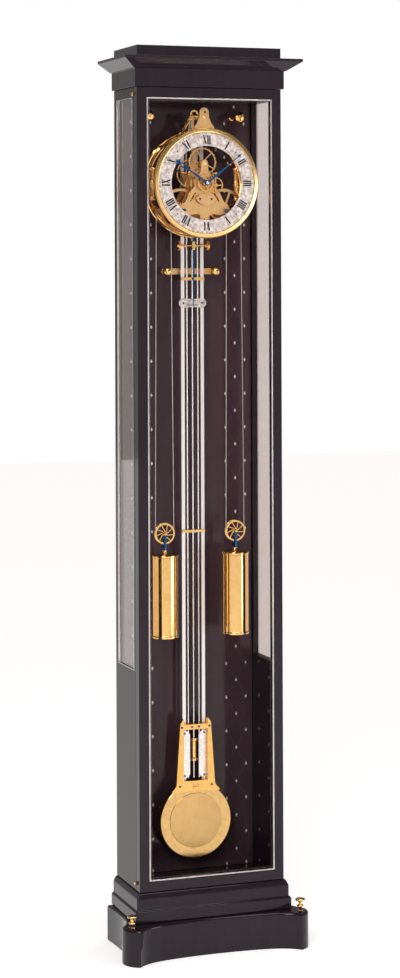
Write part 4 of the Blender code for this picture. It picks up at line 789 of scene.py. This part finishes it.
def makeTrain():
    for node, wheel in train.items():
        spot = middle(node)
        radius, depth = wheel["radius"], wheel["depth"]
        bore = [disc(0, 0, wheel["bore"], 20)] if "bore" in wheel else []
        loops = [toothed(radius, wheel["teeth"], min(0.0017, radius * 0.055))]
        loops += spokeGaps(wheel["hub"], radius - wheel["rim"], wheel["spokes"], wheel["width"],
                           wheel["turn"])
        bm = cutPlate(loops + bore, wheel.get("thickness", wheelThickness), wheelEdge, 1)
        bmesh.ops.translate(bm, verts=bm.verts, vec=(0, 0, -depth))
        if "arbor" in wheel:
            thick, near = wheel["arbor"]
            addTo(bm, stick((0, 0, -near), (0, 0, -arborBack), thick, 16))
            collet = mm((0, 1.2), (3.6, 1.2), (4.2, 0.4), (4.2, -3), (0, -3))
            addTo(bm, turning(collet, 24), at(0, 0, -depth))
        if "pinion" in wheel:
            thick, leaves, near, far = wheel["pinion"]
            loops = [toothed(thick, leaves, thick * 0.3)] + bore
            addTo(bm, cutPlate(loops, far - near), at(0, 0, -near))
        finish = "satinBrass" if node.startswith("great") else "polishedBrass"
        showPiece(bm, node + "_cut", finish, wheel["body"], [node], facing(spot.x, spot.z))

    spot = middle("escape_wheel")
    tip, root = escape["radius"], escape["root"]
    points = []
    for i in range(escape["teeth"]):
        turn = 360 * i / escape["teeth"]
        for share, reach in ((0, tip), (1.2, tip), (2.4, root + 0.0006), (4, root), (9.5, root), (13, root)):
            points.append(polar(reach, turn + share))
    gaps = spokeGaps(escape["hub"], escape["rim"], escape["spokes"], escape["width"], escape["turn"])
    bm = cutPlate([points] + gaps, wheelThickness, wheelEdge, 1)
    bmesh.ops.translate(bm, verts=bm.verts, vec=(0, 0, -escape["depth"]))
    addTo(bm, stick((0, 0, -arborFront), (0, 0, -arborBack), escape["arbor"], 16))
    addTo(bm, cutPlate([toothed(0.005, 10, 0.0014)], 0.0034), at(0, 0, -escape["pinionDepth"]))
    showPiece(bm, "escape_wheel_cut", "satinBrass", "escape", ["escape_wheel"], facing(spot.x, spot.z))

    r, front, back = barrel["radius"], -barrel["front"], -barrel["back"]
    flange = mm((17.8, 1), (18.5, 0.4), (18.5, -0.4), (17.8, -1))
    profile = [(0, front + 0.001)] + [(x, front + z) for x, z in flange]
    z = front - 0.0012
    while z > back + 0.0015:
        profile += [(r, z), (r - barrel["groove"], z - 0.001), (r, z - 0.002)]
        z -= barrel["pitch"]
    profile += [(r, back + 0.001)] + [(x, back + z) for x, z in flange] + [(0, back - 0.001)]
    half = barrel["squareHalf"]
    for side in sides:
        spot = middle("barrel_" + side)
        body = "drum_" + side
        bm = turning(profile, 48)
        addTo(bm, stick((0, 0, -barrel["arborFront"]), (0, 0, -arborBack), barrel["arbor"], 20))
        place = facing(spot.x, spot.z)
        showPiece(bm, "barrel_grooved_" + side, "polishedBrass", body, ["barrel_" + side], place)
        square = cutPlate([slab(-half, -half, half, half, 0.0004)], barrel["squareLong"], 0.0003, 1)
        place = facing(spot.x, spot.z, barrel["squareFront"]) @ turned(barrel["squareTurn"])
        showPiece(square, "winding_square_" + side, "blueSteel", body, place=place)


frontPlate = {"depth": 0.0335, "thickness": 0.003, "edge": 0.0004, "centreHole": 0.0046, "eyeAside": 0.05,
              "eyeHeight": -0.0595, "eye": 0.0034, "peg": (0.0242, -0.0045), "pegFront": 0.0072,
              "pegRadius": 0.0015, "pivots": (0.044, -0.0775)}
shieldPlate = {"depth": 0.0262, "thickness": 0.0022, "screws": ((-0.0135, -0.0351), (0.0135, -0.0351)),
               "screw": 0.0024, "boss": 0.0035, "hole": 0.0009, "holeHeight": -0.0262}
cockPlate = {"thickness": 0.003, "edge": 0.0005, "head": 0.0105, "footRadius": 0.1128, "footHalf": 10.6,
             "screw": 0.0025, "screwAside": 0.0012, "screwDown": 0.0102}
palletHeight = 0.1455
plateSide = mm((14, -69), (22.5, -68.2), (31, -70.2), (37, -70.6), (44, -69), (51, -67.8), (56, -63.5),
               (57.2, -58), (57.5, -52.5), (53, -46), (45.2, -41.2), (36.2, -22.2), (29, -13), (24, -8))
plateSlot = mm((19, -19.6), (22.5, -19), (30, -30), (35, -40), (33, -40.8), (26.2, -33))


def makePlates():
    half = mm((11, -88), (11, -71.5)) + plateSide
    half += mm((23.6, 6), (15, 18), (9, 25), (8, 44), (6.6, 48.6), (3.6, 51.2))
    shape = frontPlate
    loops = [bothSides(half), disc(0, 0, shape["centreHole"], 24)]
    for sign in (-1, 1):
        loops.append(disc(sign * shape["eyeAside"], shape["eyeHeight"], shape["eye"], 20))
        loops.append([(sign * x, z) for x, z in plateSlot])
    plate = cutPlate(loops, shape["thickness"], shape["edge"])
    addTo(plate, stick((*shape["peg"], shape["pegFront"]), (*shape["peg"], -0.001), shape["pegRadius"]))
    showPiece(plate, "front_plate_cut", "satinBrass", "case", ["front_plate"], onDial(shape["depth"]))
    pivots = bmesh.new()
    pivot = mm((0.8, 0.4), (1.6, 0.7), (2.4, 0.4), (2.4, -0.3), (0.8, -0.3))
    for z in shape["pivots"]:
        addTo(pivots, ringTurning(pivot, 20), onDial(shape["depth"], 0, z))

    shield = bothSides(mm((6, -48), (13, -44.5), (19, -39.6), (21.6, -34.5), (20.6, -30.6), (15, -26.8),
                          (8, -23.8)))
    rest = frontPlate["depth"] - shieldPlate["depth"]
    shape = shieldPlate
    bm = cutPlate([shield, disc(0, shape["holeHeight"], shape["hole"], 12)], shape["thickness"], 0.0004)
    for x, z in shape["screws"]:
        addTo(bm, stick((x, z, -0.001), (x, z, -rest), shape["boss"], 20))
    showPiece(bm, "shield_plate", "satinBrass", "case", place=onDial(shape["depth"]))
    places = [onDial(shape["depth"], x, z) for x, z in shape["screws"]]
    screwSet("shield_screws", "case", places, shape["screw"])
    showPiece(pivots, "plate_pivots", "polishedBrass", "case")

    depth = depths("front_cock")[0]
    top = corners("front_cock")[1].z - dial.z
    shape = cockPlate
    bell = mm((22.8, 120.1), (22.8, 124.5), (21.2, 126.8), (18, 130), (15.8, 134), (13.8, 139),
              (11.8, 142.5))
    bell += arc(0, top - shape["head"], shape["head"], 5, 85, 7)
    foot = arc(0, 0, shape["footRadius"], 90 + shape["footHalf"], 90 - shape["footHalf"], 10)
    cock = cutPlate([foot + bothSides(bell)], shape["thickness"], shape["edge"])
    showPiece(cock, "pallet_cock", "satinBrass", "case", ["front_cock"], onDial(depth))
    pivot = mm((1, 0.4), (1.8, 0.8), (2.6, 0.4), (2.6, -0.3), (1, -0.3))
    place = onDial(depth, 0, palletHeight)
    showPiece(ringTurning(pivot, 24), "cock_pivot", "polishedBrass", "case", place=place)
    place = onDial(depth, shape["screwAside"], top - shape["screwDown"])
    screwSet("cock_screw", "case", [place], shape["screw"])


rearFrame = {"plateDepth": 0.1003, "plateThickness": 0.0059, "archDepth": 0.1004, "archThickness": 0.0056,
             "edge": 0.0006, "columnAside": 0.0989, "columnDepth": 0.1033, "postRadius": 0.113,
             "barRadius": 0.003, "barBack": 0.101, "shortBar": 0.072}


def makeRearFrame():
    ring = mm((106.2, -100), (108.5, -98.5), (110.8, -99), (113, -97.8), (115.2, -99), (117.8, -98.5),
              (120, -100.3), (120, -106.2), (119, -106.8), (107, -106.8), (106.2, -106))
    showPiece(ringTurning(ring, 128), "rear_ring", "polishedBrass", "case", ["rear_frame"], onDial(0))
    half = mm((8.5, -108.5), (8.5, -71.5)) + plateSide[:6] + mm((93, -64), (94.5, -56)) + plateSide[8:]
    half += mm((26.2, 10), (31.2, 19), (31.2, 24), (28.5, 26.4), (24, 25.6), (19, 20), (13, 20), (9, 25),
               (8, 48), (5, 53), (4.6, 108.5))
    loops = [bothSides(half)] + [[(sign * x, z) for x, z in plateSlot] for sign in (-1, 1)]
    plate = cutPlate(loops, rearFrame["plateThickness"], rearFrame["edge"])
    showPiece(plate, "rear_plate", "satinBrass", "case", place=onDial(rearFrame["plateDepth"]))

    columns = bmesh.new()
    half = mm((0, 36.2), (7.5, 36.2), (8, 35.2), (8, 32.2), (7.2, 31), (5.8, 30), (6.2, 28.5), (7.4, 27.6),
              (7.4, 25.8), (6, 24.8), (5, 23.6), (5, 8), (5.4, 6), (6.4, 4.6), (6.4, 1.4), (5.8, 0))
    for sign in (-1, 1):
        place = at(sign * rearFrame["columnAside"], deep(rearFrame["columnDepth"]), dial.z)
        addTo(columns, turning(bothEnds(half), 36), place)
    showPiece(columns, "turned_columns", "polishedBrass", "case")

    arch = mm((28.5, 115), (27.2, 122.5), (15, 145), (10, 153))
    arch += arc(0, 0.156, 0.0098, 0, 80, 7)
    gap = mm((22.2, 119), (21.5, 121.8), (8.5, 144))
    plain = cutPlate([bothSides(arch), bothSides(gap)], rearFrame["archThickness"], rearFrame["edge"])
    addTo(plain, block((-0.005, 0.15, -0.026), (0.005, 0.1608, 0.0)))
    pin = mm((0, 12.8), (2.2, 12.2), (3.4, 10.6), (3.4, 9), (2.2, 7.6), (2.2, 6.2), (4.6, 5.6), (4.6, 0))
    addTo(plain, turning(bothEnds(pin), 28), at(0, 0.1512, 0.003) @ turned(90, "Y"))
    showPiece(plain, "suspension_arch", "polishedBrass", "case", place=onDial(rearFrame["archDepth"]))

    posts = bmesh.new()
    wallPost = mm((0, -106), (6, -106), (6, -121), (5, -122.2), (5, -144), (6.6, -145.2), (6.6, -152.2),
                  (0, -152.2))
    pillar = mm((0, -26.2), (4, -26.2), (4, -30), (3.2, -31.2), (3.2, -70), (4, -71.5), (4, -73.5),
                (3.2, -75), (3.2, -97), (4.4, -98.5), (4.4, -101), (0, -101))
    stud = mm((0, -93.5), (1.4, -94), (2.6, -95.5), (3, -97), (2.6, -98.6), (1.6, -99.6), (0, -101))
    ringRadius, shortBar = rearFrame["postRadius"], rearFrame["shortBar"]
    for near, spot in ((arborFront, (0, -0.082)), (arborFront, (0.0285, 0.0217)),
                       (shortBar, polar(ringRadius, -28.3)), (shortBar, polar(ringRadius, -151.7))):
        bar = stick((0, 0, -near), (0, 0, -rearFrame["barBack"]), rearFrame["barRadius"], 20)
        addTo(posts, bar, onDial(0, *spot))
    for profile, steps, radius, angles in ((wallPost, 28, ringRadius, (27, 153, 207, 333)),
                                           (pillar, 24, 0.1158, (45, 135, -78, -102)),
                                           (stud, 20, 0.1185, (133.4, 106.8, 46.6, 73.2))):
        for angle in angles:
            addTo(posts, turning(profile, steps), onDial(0, *polar(radius, angle)))
    showPiece(posts, "frame_posts", "polishedBrass", "case")


makeDial()
makeHands()
makeTrain()
makePlates()
makeRearFrame()
print("movement made")

crutchShape = {"depth": 0.1088, "thickness": 0.0024, "pivot": palletHeight, "beat": -0.137, "join": -0.06,
               "tip": -0.2734, "knob": 0.0098, "knobAside": 0.0341, "collarAside": 0.0192,
               "barHalf": 0.0375, "barRadius": 0.0016, "barDepth": 0.0012, "edge": 0.0004}


def makeEscapement():
    showPiece(soften(nodeCopy("anchor"), 0.0003), "anchor_eased", "polishedSteel", "escapement", ["anchor"])
    shape = crutchShape
    eye = arc(0, shape["pivot"], 0.0045, -60, 90, 10)
    arm = bothSides([(0.0025, shape["join"]), (0.0022, shape["pivot"] - 0.0039)] + eye[1:-1])
    bm = cutPlate([arm, disc(0, shape["pivot"], 0.0021, 16)], shape["thickness"], shape["edge"])
    showPiece(bm, "crutch_arm", "satinBrass", "escapement", ["crutch"], onDial(shape["depth"]))
    blade = bothSides([(0.0008, shape["tip"]), (0.0026, shape["beat"] - 0.01), (0.0025, shape["join"])])
    bm = cutPlate([blade], shape["thickness"], shape["edge"])
    showPiece(bm, "crutch_blade", "blueSteel", "escapement", place=onDial(shape["depth"]))

    beat = bmesh.new()
    addTo(beat, soften(block((-0.0038, -0.0095, -0.005), (0.0038, 0.0095, 0.0022)), 0.0008, 3))
    reach, behind = shape["barHalf"], -shape["barDepth"]
    addTo(beat, stick((-reach, 0, behind), (reach, 0, behind), shape["barRadius"], 16))
    hub = bothEnds(mm((0, 5.2), (3.4, 5.2), (4.6, 4.2)))
    collar = bothEnds(mm((0, 2.2), (3, 2.2), (4, 1.2)))
    for sign in (-1, 1):
        knob = sign * shape["knobAside"]
        wheel = cutPlate([toothed(shape["knob"], 44, 0.0005)], 0.0046, 0.0006)
        addTo(beat, wheel, at(knob + 0.0023, 0, behind) @ turned(90, "Y"))
        addTo(beat, turning(hub, 24), at(knob, 0, behind) @ turned(90, "Y"))
        addTo(beat, turning(collar, 24), at(sign * shape["collarAside"], 0, behind) @ turned(90, "Y"))
    showPiece(beat, "beat_setting", "polishedBrass", "escapement",
              place=onDial(shape["depth"], 0, shape["beat"]))


rods = {"steps": 28, "edge": 0.0003, "scaleEnd": 0.011, "scaleHalf": 0.0093, "scaleScrew": 0.0221,
        "tickHigh": 0.003, "tickWide": 0.00028, "tickGap": 0.0013, "tickFoot": -0.006, "barHalf": 0.0031,
        "foot": 0.355}


def makePendulum():
    flats = ["outer_rod_left", "outer_rod_right"]
    bm = bmesh.new()
    for node in flats:
        addTo(bm, soften(block(*corners(node)), rods["edge"]))
    showPiece(bm, "pendulum_flat_rods", "brushedSteel", "pendulum", flats)
    rounds = ["inner_rod_left", "inner_rod_right", "centre_rod"]
    bm = bmesh.new()
    for node in rounds:
        low, high = corners(node)
        spot = (low + high) / 2
        foot = min(low.z, rods["foot"])
        addTo(bm, stick((spot.x, spot.y, foot), (spot.x, spot.y, high.z), (high.x - low.x) / 2,
                        rods["steps"]))
    showPiece(bm, "pendulum_round_rods", "polishedSteel", "pendulum", rounds)
    for node in ("suspension_spring", "pendulum_head"):
        finish = "polishedBrass" if node == "pendulum_head" else "polishedSteel"
        showPiece(soften(nodeCopy(node), rods["edge"]), node + "_eased", finish, "pendulum", [node])
    reach, half = corners("outer_rod_right")[1].x, rods["barHalf"]
    for node in ("upper_cross_bar", "lower_cross_bar"):
        low, high = corners(node)
        z = (low.z + high.z) / 2
        bar = soften(block((low.x, low.y, z - half), (high.x, high.y, z + half)), 0.0004)
        strap = block((-reach, low.y - 0.0016, z - half), (reach, low.y + 0.0004, z + half))
        addTo(bar, soften(strap, 0.0005))
        showPiece(bar, node + "_strapped", "polishedBrass", "pendulum", [node])

    low, high = corners("beat_scale")
    z = (low.z + high.z) / 2
    end, tall = rods["scaleEnd"], rods["scaleHalf"]
    half = [(0.01, -tall), (0.015, -tall - 0.0006)] + arc(high.x - end, 0, end, -110, 110, 22)
    half += [(0.015, tall + 0.0006), (0.01, tall)]
    scale = cutPlate([bothSides(half)], high.y - low.y, 0.0004)
    place = facing(0, z, low.y - faceY)
    showPiece(scale, "beat_scale_cut", "silvered", "pendulum", ["beat_scale"], place)
    ticks = bmesh.new()
    raised = place @ at(0, 0, 0.0001)
    wide, foot = rods["tickWide"], rods["tickFoot"]
    for i in range(-10, 11):
        x = i * rods["tickGap"]
        tall = rods["tickHigh"] * (1.5 if i % 5 == 0 else 1)
        addTo(ticks, cutPlate([slab(x - wide, foot, x + wide, foot + tall)], 0.0003), raised)
    showPiece(ticks, "beat_scale_ticks", "ink", "pendulum")
    places = [facing(sign * rods["scaleScrew"], z, low.y - faceY) for sign in (-1, 1)]
    screwSet("beat_scale_screws", "pendulum", places, 0.0022)


bobShape = {"faceRadius": 0.0606, "dish": 0.0014, "proud": 0.0032, "steps": 128, "earHigh": 0.0121,
            "barHigh": 0.0122, "footHigh": 0.0219, "window": 0.028, "cheek": 0.0024, "nutLow": 0.3935,
            "nutTall": 0.0499, "nutBore": 0.0023, "cheekOut": 0.0278, "cheekIn": 0.0102, "cheekTurn": 0.018,
            "cheekCut": 0.008, "screw": 0.0024}


def makeBob():
    shape = bobShape
    rodFront = depths("outer_rod_left")[0]
    low, high = corners("bob")
    centre = low.z + (high.x - low.x) / 2
    thick = (high.y - low.y) / 2
    depth = (low.y + high.y) / 2 - faceY
    r = shape["faceRadius"]
    face = [(0, thick), (r, thick), (r + 0.0004, thick - shape["dish"]), (0.0822, thick - 0.0004),
            (0.0832, thick - 0.001), (0.0836, thick - 0.0022)]
    showPiece(turning(bothEnds(face), shape["steps"]), "bob_turned", "rimBrass", "bob_carrier", ["bob"],
              facing(0, centre, depth), least=12)
    plain = turning([(0, 0.0002), (r - 0.0004, 0.0002), (r, 0), (r, -0.001), (0, -0.001)], shape["steps"])
    showPiece(plain, "bob_face", "faceBrass", "bob_carrier", place=facing(0, centre, depth - thick))

    low, high = corners("bob_bracket")
    base, top = low.z - centre, high.z - centre
    depth = low.y - faceY - shape["proud"]
    thick = rodFront - depth - 0.0003
    bar = top - shape["earHigh"]
    foot, head = base + shape["footHigh"], bar - shape["barHigh"]
    flare = [(high.x, base - 0.003), (high.x - 0.0008, base + 0.0012)]
    flare += [(high.x - 0.0062, base + 0.0065), (high.x - 0.0102, base + 0.0118), (0.0456, base + 0.0168)]
    ear = [(0.0366, bar - 0.001), (0.0356, bar + 0.004), (0.0332, top - 0.0058), (0.031, top - 0.0014),
           (0.0292, top), (0.0281, top - 0.0008)]
    outer = [(0.022, base - 0.001), (0.044, base - 0.004)] + flare + ear + [(0.0281, bar), (0.01, bar)]
    window = [(shape["window"], foot), (shape["window"], head)]
    slit = bothSides([(0.007, base + 0.0085), (0.007, base + 0.013)])
    plate = cutPlate([bothSides(outer), bothSides(window), slit], thick, 0.0007)
    place = facing(0, centre, depth)
    showPiece(plate, "bob_bracket_cut", "gildedBrass", "bob_carrier", ["bob_bracket"], place)

    cheeks = bmesh.new()
    z0, z1 = foot + 0.0045, head - 0.004
    near = rodFront - shape["cheek"]
    wide, slim, turn, cut = shape["cheekOut"], shape["cheekIn"], shape["cheekTurn"], shape["cheekCut"]
    loop = [(wide, z0), (wide, z1), (turn, z1), (slim, z1 - cut), (slim, z0 + cut), (turn, z0)]
    for sign in (-1, 1):
        addTo(cheeks, cutPlate([[(sign * x, z) for x, z in loop]], shape["cheek"] - 0.0002, 0.0004))
    showPiece(cheeks, "bob_cheeks", "frosted", "bob_carrier", place=facing(0, centre, near))
    places = [facing(x, centre + (bar + head) / 2, depth) for x in (-0.0325, -0.0085, 0.0075, 0.0325)]
    places += [facing(sign * 0.0375, centre + base + 0.011, depth) for sign in (-1, 1)]
    places += [facing(sign * 0.0232, centre + z, near) for sign in (-1, 1)
               for z in (z0 + 0.0055, z1 - 0.0055)]
    screwSet("bob_screws", "bob_carrier", places, shape["screw"])

    spot = middle("rating_nut")
    half = mm((5.8, 25), (5.8, 8), (6.1, 7), (8.2, 6.1), (8.9, 5.4), (8.9, 0.8), (8.3, 0), (3.6, 0))
    nut = [(shape["nutBore"], 0)] + half[::-1]
    nut += [(r, shape["nutTall"] - z) for r, z in half[1:]] + [(shape["nutBore"], shape["nutTall"])]
    place = at(spot.x, spot.y, shape["nutLow"])
    showPiece(ringTurning(nut, 40), "rating_spool", "polishedBrass", "nut", ["rating_nut"], place)


guard = {"halfLong": 0.0568, "halfHigh": 0.007, "front": 0.1305, "back": 0.1345, "ball": 0.011,
         "ballDepth": 0.1225}


def makeWallFittings():
    z = middle("guard_bar").z
    reach, half, r = guard["halfLong"], guard["halfHigh"], guard["ball"]
    bm = block((-reach, deep(guard["front"]), z - half), (reach, deep(guard["back"]), z + half))
    showPiece(soften(bm, 0.0012, 3), "guard_bar_flat", "satinBrass", "case", ["guard_bar"])
    balls = bmesh.new()
    ball = [polar(r, 90 - angle) for angle in range(0, 151, 10)]
    ball += mm((4.2, -10.4), (4.2, -24), (5.8, -25), (5.8, -29.7), (0, -29.7))
    for sign in (-1, 1):
        addTo(balls, turning(ball, 32), facing(sign * reach, z, guard["ballDepth"]))
    showPiece(balls, "guard_balls", "polishedBrass", "case")

    for side in sides:
        spot = middle("wall_post_" + side)
        head = turning(mm((0, 0), (3, -0.2), (3.4, -1), (4.2, -1), (4.6, -0.4), (8, -1.2), (10.6, -3),
                          (11.7, -5.4), (11.2, -7.6), (9, -9), (5, -9.4), (4, -10.4), (4, -56),
                          (5.5, -56.8), (5.5, -61.7), (0, -61.7)), 40)
        place = facing(spot.x, spot.z, depths("wall_post_" + side)[0])
        showPiece(head, "wall_post_turned_" + side, "polishedBrass", "case", ["wall_post_" + side], place)


weightShape = {"steps": 72, "lip": 0.0012, "neck": 0.009, "forkShare": 0.62}
pulleyShape = {"rim": 0.0195, "hub": 0.0066, "spokes": 9, "width": 0.0018, "sweep": 24, "turn": 8,
               "web": 0.0026, "grooveDeep": 0.0013, "webGap": 0.0004, "bore": 0.0024}
lineShape = {"run": 0.0215, "radius": 0.001, "top": 1.6211, "innerTop": 0.0655, "outerTop": 0.0995}


def makeWeights():
    run, groove = lineShape["run"], lineShape["run"] - pulleyShape["grooveDeep"]
    for side, sign in sides.items():
        hanging = "hanging_" + side
        low, high = corners("weight_" + side)
        spot = (low + high) / 2
        r = (high.x - low.x) / 2 - weightShape["lip"] * 0.5
        lip = r + weightShape["lip"]
        z0, z1 = low.z, high.z - weightShape["neck"]
        edge = [(r - 0.002, 0), (lip - 0.0006, 0.0008), (lip, 0.002), (lip, 0.0048), (lip - 0.0006, 0.006),
                (r, 0.0066), (r, 0.008)]
        dome = mm((11, 0.6), (8.5, 1), (7, 2.6), (4.6, 3.6), (4, 6), (5.2, 7), (5.2, 8.4))
        profile = [(0, z0 + 0.0015), (0.008, z0 + 0.0012), (0.01, z0 + 0.0004)]
        profile += [(x, z0 + z) for x, z in edge] + [(x, z1 - z) for x, z in reversed(edge)]
        profile += [(x, z1 + z) for x, z in dome] + [(0.004, high.z), (0, high.z)]
        showPiece(turning(profile, weightShape["steps"]), "weight_turned_" + side, "polishedBrass", hanging,
                  ["weight_" + side], at(spot.x, spot.y))
        node = "pulley_fork_" + side
        fork = nodeCopy(node)
        bmesh.ops.scale(fork, vec=(weightShape["forkShare"], 1, 1), space=at(*-spot), verts=fork.verts)
        showPiece(soften(fork, 0.0005), "pulley_fork_eased_" + side, "blueSteel", hanging, [node])
        forkLow, forkHigh = corners(node)
        low, high = corners("pulley_" + side)
        spot = (low + high) / 2
        pin = bmesh.new()
        cap = mm((0, 1), (2.6, 0.8), (3.4, 0), (3.4, -0.8), (0, -0.8))
        for face, turn in ((forkLow.y - 0.0006, 90), (forkHigh.y + 0.0006, -90)):
            addTo(pin, turning(cap, 20), at(spot.x, face, spot.z) @ turned(turn, "X"))
        showPiece(pin, "pulley_pin_" + side, "polishedBrass", hanging)

        r = (high.z - low.z) / 2
        w = (high.y - low.y) / 2
        half = [(r - 0.004, w * 0.62), (r - 0.0004, w * 0.62), (r, w * 0.5), (r - 0.0004, w * 0.4),
                (groove, 0.0009)]
        rim = ringTurning(bothEnds(half), 72)
        loops = [disc(0, 0, groove - pulleyShape["webGap"], 72), disc(0, 0, pulleyShape["bore"], 24)]
        loops += spokeGaps(pulleyShape["hub"], pulleyShape["rim"], pulleyShape["spokes"],
                           pulleyShape["width"], pulleyShape["turn"], pulleyShape["sweep"])
        addTo(rim, cutPlate(loops, pulleyShape["web"], 0.0003, 1), at(0, 0, pulleyShape["web"] / 2))
        addTo(rim, ringTurning(bothEnds([(0.0023, w), (0.0052, w), (0.0062, w * 0.7)]), 32))
        showPiece(rim, "pulley_spoked_" + side, "polishedBrass", "sheave_" + side, ["pulley_" + side],
                  at(*spot) @ turned(90, "X"))

        y = middle("line_" + side).y
        for name, toward in (("inner", -sign), ("outer", sign)):
            foot = (spot.x + toward * run, y, spot.z)
            head = (sign * lineShape[name + "Top"], y, lineShape["top"])
            leg = stick(foot, head, lineShape["radius"], 10)
            leg = showPiece(leg, "line_" + name + "_" + side, "wireLine", None)
            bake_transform(leg)
        bight = bmesh.new()
        bmesh.ops.create_circle(bight, cap_ends=False, segments=10, radius=lineShape["radius"],
                                matrix=at(run))
        bmesh.ops.spin(bight, geom=bight.edges[:] + bight.verts[:], axis=(0, 1, 0), cent=(0, 0, 0),
                       dvec=(0, 0, 0), angle=math.pi, steps=24)
        bmesh.ops.holes_fill(bight, edges=bight.edges, sides=12)
        showPiece(bight, "line_bight_" + side, "wireLine", hanging, ["line_" + side], at(spot.x, y, spot.z))


leveller = {"knobDown": 0.005, "thread": 0.0034, "threadHigh": 0.0006, "pitch": 0.0012, "threadTop": 0.008}


def makeLevellers():
    floor = corners("plinth")[1].z
    r, high = leveller["thread"], leveller["threadHigh"]
    for side in sides:
        low, top = corners("level_screw_" + side)
        place = at(*((low + top) / 2).xy)
        body = "level_knob_" + side
        head = mm((0, 0), (7, 0), (9.8, -0.6), (11, -1.8), (11.2, -3), (10.6, -4.4), (8.6, -5.6),
                  (5.6, -6.6), (4, -8), (3.4, -9.5))
        collar = mm((3.4, 13.8), (4.6, 12.4), (7, 11.2), (7.4, 10.4), (7.4, 9), (6.6, 8.2), (0, 8.2))
        knob = [(x, top.z - leveller["knobDown"] + z) for x, z in head] + [(x, floor + z) for x, z in collar]
        knob = turning(knob, 40)
        showPiece(knob, "level_knob_" + side, "polishedBrass", body, ["level_screw_" + side], place)
        z = low.z
        thread = [(0, z)]
        while z < floor + leveller["threadTop"]:
            thread += [(r, z), (r + high, z + high)]
            z += leveller["pitch"]
        thread += [(r, z), (0, z)]
        showPiece(turning(thread, 20), "level_thread_" + side, "blueSteel", body, place=place)
        washer = mm((4.5, 1.8), (6.8, 1.8), (7.8, 1), (7.8, -0.2), (4.5, -0.2))
        washer = ringTurning([(x, floor + z) for x, z in washer], 36)
        showPiece(washer, "level_washer_" + side, "polishedBrass", "case", place=place)


makeEscapement()
makePendulum()
makeBob()
makeWallFittings()
makeWeights()
makeLevellers()
print("pendulum, weights and fittings made")
